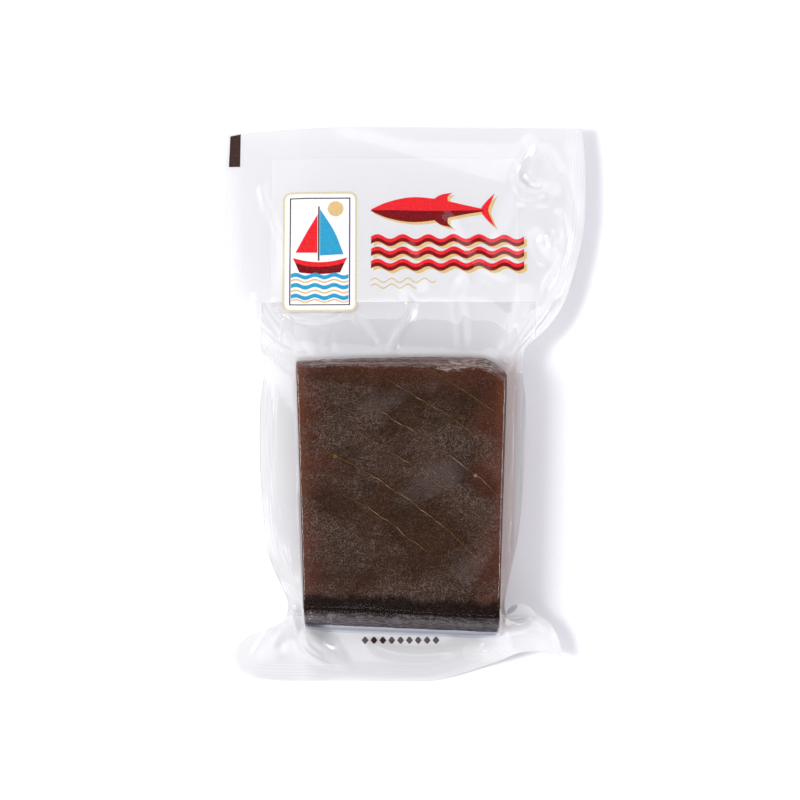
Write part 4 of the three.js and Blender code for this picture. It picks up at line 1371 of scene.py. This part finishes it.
def roughen_flesh(block, depth):
    """Sinks the meat's surface a little between its fibres, more so on its cut ends."""
    count = len(block.data.vertices)
    normals = np.zeros(count * 3, np.float32)
    block.data.vertices.foreach_get("normal", normals)
    normals = normals.reshape(-1, 3).astype(float)
    points = points_of(block) / MM
    fine = noise_at(points, (1.6, 4.5, 1.6), 3.0)
    broad = noise_at(points, 7.0, 11.0)
    on_end = np.abs(normals[:, 1]) ** 2
    lines = noise_at(points, (6.0, 1.0, 1.1), 23.0)
    dip = (0.5 + 0.5 * np.clip(fine + 0.7 * broad + on_end * lines, -1, 1)) * depth * (1 + 0.8 * on_end)
    resting = smooth(points[:, 2], 0.2, 2.5)
    move_points(block, (points - normals * (dip * resting)[:, None]) * MM)


class MOJAMA_OT_films(bpy.types.Operator):
    """Lays the front and back films round the block and closes their edge"""

    bl_idname = "mojama.films"
    bl_label = "Films"

    def execute(self, context):
        looks = context.scene.mojama_film
        fineness = looks.fineness
        front, _, measures = film_grid(fineness)
        film = sheet_of("front_film", front, measures)
        settle(film, make_front_film(looks), *POUCH)
        _, back, measures = film_grid(fineness * BACK_SHARE)
        sheet = sheet_of("back_film", back, measures)
        turn_inside_out(sheet)
        settle(sheet, make_white_film("White laminate", looks, True), *POUCH)
        edge = sealed_edge(front, looks.edge_radius)
        settle(edge, make_white_film("Cut edge of laminate", looks, False), *POUCH)
        gathers = [printed("gather", *sides, (24, 3), GATHER_RISE) for sides in GATHERS]
        lay_inks(looks, [("gathered_film", "Gathered film", looks.gather_hex, gathers)])
        fold = spanned("corner_fold", *CORNER_FOLD, (24, 10))
        settle(fold, make_white_film("White fold", looks, False), *POUCH)
        # A grey patch laid on the fold as painted shade in its hollow
        hollow_shade = spanned("painted_shade_of_hollow", *HOLLOW_SHADE, (16, 6))
        lay_inks(looks, [("painted_shade_of_hollow", "Painted shade of hollow", looks.hollow_shade_hex, [hollow_shade])])
        return {"FINISHED"}


def lay_inks(looks, rows):
    """Joins the fields of each colour into one piece; a row has the piece, its ink, colour and fields."""
    for name, ink, colour, fields in rows:
        settle(joined(name, fields), make_ink(ink, colour, looks), *POUCH)


def sheet_of(name, points, measures):
    """A grid that follows rows and columns of points, with what was measured there kept as attributes."""
    rows, columns = points.shape[:2]

    def cell(s, t):
        return np.round(t * (rows - 1)).astype(int), np.round(s * (columns - 1)).astype(int)

    sheet = add_grid(name, columns - 1, rows - 1, lambda s, t: points[cell(s, t)])
    # The grid's own points were in order of their shares, so the same order holds for the measures
    s = np.tile(np.linspace(0, 1, columns), rows)
    t = np.repeat(np.linspace(0, 1, rows), columns)
    for key, values in measures.items():
        kept = sheet.data.attributes.new(key, "FLOAT", "POINT")
        kept.data.foreach_set("value", values[cell(s, t)].astype(np.float32))
    return sheet


def sealed_edge(front, radius):
    """The pouch's cut edge, as a thin cord round its whole rim."""
    rim = np.concatenate([front[0, :-1], front[:-1, -1], front[-1, :0:-1], front[:0:-1, 0]])
    rim = rim[::2] - np.array([0, 0, SEAM_THICK / 2])
    curve = bpy.data.curves.new("sealed_edge", "CURVE")
    curve.dimensions = "3D"
    curve.bevel_depth = radius
    curve.bevel_resolution = 1
    spline = curve.splines.new("POLY")
    spline.points.add(len(rim) - 1)
    lowest = radius / MM + 0.02
    for point, (x, y, z) in zip(spline.points, rim):
        point.co = (x * MM, y * MM, max(z, lowest) * MM, 1)
    spline.use_cyclic_u = True
    edge = bpy.data.objects.new("sealed_edge", curve)
    bpy.context.scene.collection.objects.link(edge)
    with_focus(edge)
    bpy.ops.object.convert(target="MESH")
    return bpy.context.object


def printed(name, first, second, cells, height, shift=(0, 0), target="front_film"):
    """A thin field between two smooth paths in plan, laid at some height above the film or the meat."""
    sides = ([(x + shift[0], y + shift[1], PRINT_START) for x, y in path] for path in (first, second))
    field = spanned(name, *sides, cells)
    with_focus(field)
    wrap = field.modifiers.new("Laid on", "SHRINKWRAP")
    wrap.wrap_method = "PROJECT"
    wrap.use_project_z = True
    wrap.use_negative_direction = True
    wrap.use_positive_direction = False
    wrap.target = bpy.data.objects[target]
    bpy.ops.object.modifier_apply(modifier=wrap.name)
    move_points(field, points_of(field) + np.array([0, 0, height * MM]))
    bpy.ops.object.mode_set(mode="EDIT")
    bpy.ops.mesh.select_all(action="SELECT")
    bpy.ops.mesh.remove_doubles(threshold=0.01 * MM)
    bpy.ops.mesh.normals_make_consistent(inside=False)
    bpy.ops.object.mode_set(mode="OBJECT")
    if sum(polygon.normal.z for polygon in field.data.polygons) < 0:
        turn_inside_out(field)
    return field


def spanned(name, first, second, cells):
    """A sheet between two smooth paths, through points with X, Y and height."""
    low, high = curve_through(first), curve_through(second)
    return add_grid(name, *cells, lambda s, t: mix(low(s), high(s), t[:, None]))


def rounded_sides(left, low, right, high, corner):
    """The lower and upper sides of a rectangle with round corners."""
    turns = [math.radians(a) for a in (0, 22.5, 45, 67.5, 90)]
    near_left = [(left + corner * (1 - math.cos(a)), corner * (1 - math.sin(a))) for a in turns]
    near_right = [(right - (x - left), y) for x, y in reversed(near_left)]
    side = near_left + [((left + right) / 2, 0)] + near_right
    return [(x, low + y) for x, y in side], [(x, high - y) for x, y in side]


def bar(name, left, low, right, high, cells, height):
    return printed(name, [(left, low), (right, low)], [(left, high), (right, high)], cells, height)


def wave(left, right, middle, crest, length):
    """Points of a wavy line."""
    count = max(8, round((right - left) / length * 8))
    xs = np.linspace(left, right, count + 1)
    return [(x, middle + crest * math.sin(2 * math.pi * (x - left) / length)) for x in xs]


def wavy_band(name, ends, low, high, run, cells, height, shift=(0, 0)):
    """A wavy field between two heights on the page. Its run is the height and length of a wave."""
    return printed(name, *(wave(*ends, y, *run) for y in (low, high)), cells, height, shift)


def mirrored(path, level):
    return [(x, 2 * level - y) for x, y in path]


def disc_sides(x, y, radius):
    turns = np.linspace(0, math.pi, 13)
    upper = [(x - radius * math.cos(a), y + radius * math.sin(a)) for a in turns]
    return mirrored(upper, y), upper


class MOJAMA_OT_card(bpy.types.Operator):
    """Prints the card with its boat, sun and waves"""

    bl_idname = "mojama.card"
    bl_label = "Card"

    def execute(self, context):
        colours = context.scene.mojama_print
        looks = context.scene.mojama_film
        left, low, right, high = CARD
        edge = printed("card_edge", *rounded_sides(*CARD, CARD_ROUND), (28, 46), GROUND_INK)
        inner = (left + CARD_BORDER, low + CARD_BORDER, right - CARD_BORDER, high - CARD_BORDER)
        face = printed("card_face", *rounded_sides(*inner, FACE_ROUND), (27, 44), FACE_INK)
        left, low, right, high = CARD_FRAME
        lines = [
            bar("frame_low", left, low, right, low + FRAME_LINE, (22, 1), FRAME_INK),
            bar("frame_high", left, high - FRAME_LINE, right, high, (22, 1), FRAME_INK),
            bar("frame_left", left, low, left + FRAME_LINE, high, (1, 40), FRAME_INK),
            bar("frame_right", right - FRAME_LINE, low, right, high, (1, 40), FRAME_INK),
            bar("mast", *MAST, (1, 20), WAVE_INK),
        ]
        sail = printed("sail", *SAIL, (18, 9), PICTURE_INK)
        jib = printed("jib", *JIB, (16, 8), PICTURE_INK)
        hull = printed("hull", STRIPE, GUNWALE, (22, 2), PICTURE_INK)
        hull_low = printed("hull_low", KEEL, STRIPE, (22, 4), PICTURE_INK)
        sun = printed("sun", *disc_sides(*SUN), (12, 6), PICTURE_INK)
        blue_waves = [
            wavy_band("wave", SEA, y - BLUE_HALF, y + BLUE_HALF, SEA_RUN, (42, 2), WAVE_INK)
            for y in BLUE_WAVES
        ]
        gold_waves = [
            wavy_band("ripple", SEA, y - GOLD_HALF, y + GOLD_HALF, SEA_RUN, (42, 1), WAVE_INK)
            for y in GOLD_WAVES
        ]
        inks = [
            ("card_edge", "Cream ink", colours.cream_hex, [edge]),
            ("card_face", "Card white ink", colours.card_hex, [face]),
            ("card_lines", "Card dark ink", colours.dark_hex, lines),
            ("card_blue", "Card blue ink", colours.blue_hex, [sail, *blue_waves]),
            ("card_red", "Card red ink", colours.red_hex, [hull, jib]),
            ("card_deep_red", "Card deep red ink", colours.deep_red_hex, [hull_low]),
            ("card_gold", "Card gold ink", colours.gold_hex, [sun, *gold_waves]),
        ]
        lay_inks(looks, inks)
        return {"FINISHED"}


class MOJAMA_OT_motifs(bpy.types.Operator):
    """Prints the red fish and the waves beside the card, with their gold shadows"""

    bl_idname = "mojama.motifs"
    bl_label = "Fish and waves"

    def execute(self, context):
        colours = context.scene.mojama_print
        looks = context.scene.mojama_film
        back, flank, belly, tail_fin, fins = tuna_paths()
        gold = [printed("shadow", belly, back, (44, 10), GROUND_INK, SHADOW_SHIFT)]
        gold += [printed("shadow", *fin, (10, 4), GROUND_INK, SHADOW_SHIFT) for fin in (tail_fin, *fins)]
        red = [printed("fish", flank, back, (44, 6), MOTIF_INK)]
        red += [printed("fin", *fin, (10, 4), MOTIF_INK) for fin in (tail_fin, fins[0])]
        deep = [printed("fish_low", belly, flank, (44, 5), MOTIF_INK)]
        deep.append(printed("fin_low", *fins[1], (10, 4), MOTIF_INK))
        thick = (WAVES_HIGH - WAVES_LOW) / WAVE_COUNT
        for k in range(WAVE_COUNT):
            middle = WAVES_LOW + thick * (k + 0.5)
            low, high = middle - WAVE_SHARE * thick, middle + WAVE_SHARE * thick
            shadow = wavy_band("wave_shadow", WAVES, low, high, WAVE_RUN, (60, 3), GROUND_INK, SHADOW_SHIFT)
            gold.append(shadow)
            deep.append(wavy_band("wave_low", WAVES, low, middle, WAVE_RUN, (60, 2), MOTIF_INK))
            red.append(wavy_band("wave_high", WAVES, middle, high, WAVE_RUN, (60, 2), MOTIF_INK))
        for y, right in GOLD_LINES:
            ends = (MOTIF_LEFT, right)
            low, high = y - GOLD_LINE_HALF, y + GOLD_LINE_HALF
            gold.append(wavy_band("flourish", ends, low, high, GOLD_LINE_RUN, (40, 1), FACE_INK))
        inks = [
            ("motif_gold", "Gold ink", colours.gold_hex, gold),
            ("motif_red", "Red ink", colours.red_hex, red),
            ("motif_deep_red", "Deep red ink", colours.deep_red_hex, deep),
        ]
        lay_inks(looks, inks)
        return {"FINISHED"}


def tuna_paths():
    """A plain fish from the side: its back, flank line and belly, then its tail fin and two more as pairs."""
    length = FISH_RIGHT - MOTIF_LEFT
    middle = (FISH_LOW + FISH_HIGH) / 2
    half = (FISH_HIGH - FISH_LOW) / 2

    def path(*shares):
        return [(MOTIF_LEFT + along * length, middle + up * half) for along, up in shares]

    back = path((0, 0.05), (0.12, 0.42), (0.32, 0.72), (0.55, 0.6), (0.75, 0.3), (0.9, 0.08))
    flank = path((0, 0), (0.2, 0), (0.4, -0.03), (0.65, -0.02), (0.9, 0))
    belly = path((0, -0.05), (0.12, -0.4), (0.32, -0.66), (0.55, -0.52), (0.75, -0.24), (0.9, -0.08))
    outer = path((1, 0.95), (0.925, 0.45), (0.885, 0), (0.925, -0.45), (1, -0.95))
    inner = path((1, 0.95), (0.965, 0.4), (0.945, 0), (0.965, -0.4), (1, -0.95))
    upper = path((0.5, 0.6), (0.56, 0.85), (0.66, 0.98)), path((0.62, 0.5), (0.62, 0.75), (0.66, 0.98))
    lower = path((0.62, -0.42), (0.62, -0.75), (0.66, -0.98)), path((0.5, -0.5), (0.56, -0.8), (0.66, -0.98))
    return back, flank, belly, (inner, outer), (upper, lower)


class MOJAMA_OT_marks(bpy.types.Operator):
    """Prints the dark register mark in the corner and the row of lozenges on the tail"""

    bl_idname = "mojama.marks"
    bl_label = "Dark marks"

    def execute(self, context):
        colours = context.scene.mojama_print
        looks = context.scene.mojama_film
        mark = printed("register_mark", *REGISTER_MARK, (12, 4), MARK_INK)
        lay_inks(looks, [("register_mark", "Dark register ink", colours.dark_hex, [mark])])
        (start, y), (half_x, half_y) = LOZENGE_START, LOZENGE_HALF
        lozenges = []
        for k in range(LOZENGE_COUNT):
            x = start + LOZENGE_STEP * k
            low = [(x - half_x, y), (x, y - half_y), (x + half_x, y)]
            lozenges.append(printed("lozenge", low, mirrored(low, y), (6, 4), MARK_INK))
        lay_inks(looks, [("tail_lozenges", "Dark tail ink", colours.dark_hex, lozenges)])
        return {"FINISHED"}


class MOJAMA_PT_panel(bpy.types.Panel):
    """The steps that build the pack"""

    bl_idname = "MOJAMA_PT_panel"
    bl_label = "Mojama"
    bl_space_type = "VIEW_3D"
    bl_region_type = "UI"
    bl_category = "Mojama"

    def draw(self, context):
        for group in SETTINGS:
            settings = getattr(context.scene, group)
            box = self.layout.box()
            for name in settings.bl_rna.properties.keys():
                if name not in ("rna_type", "name"):
                    box.prop(settings, name)
        for step in STEPS:
            self.layout.operator(step.bl_idname)


SETTINGS = {
    "mojama_stage": MojamaStageSettings,
    "mojama_flesh": MojamaFleshSettings,
    "mojama_film": MojamaFilmSettings,
    "mojama_print": MojamaPrintSettings,
}
STEPS = (MOJAMA_OT_stage, MOJAMA_OT_flesh, MOJAMA_OT_films, MOJAMA_OT_card, MOJAMA_OT_motifs, MOJAMA_OT_marks)


def register():
    for name, settings in SETTINGS.items():
        bpy.utils.register_class(settings)
        setattr(bpy.types.Scene, name, bpy.props.PointerProperty(type=settings))
    for step in (*STEPS, MOJAMA_PT_panel):
        bpy.utils.register_class(step)


def unregister():
    for step in reversed((*STEPS, MOJAMA_PT_panel)):
        bpy.utils.unregister_class(step)
    for name, settings in SETTINGS.items():
        delattr(bpy.types.Scene, name)
        bpy.utils.unregister_class(settings)


def main():
    register()
    bpy.ops.mojama.stage()
    bpy.ops.mojama.flesh()
    bpy.ops.mojama.films()
    bpy.ops.mojama.card()
    bpy.ops.mojama.motifs()
    bpy.ops.mojama.marks()


if __name__ == "__main__":
    main()
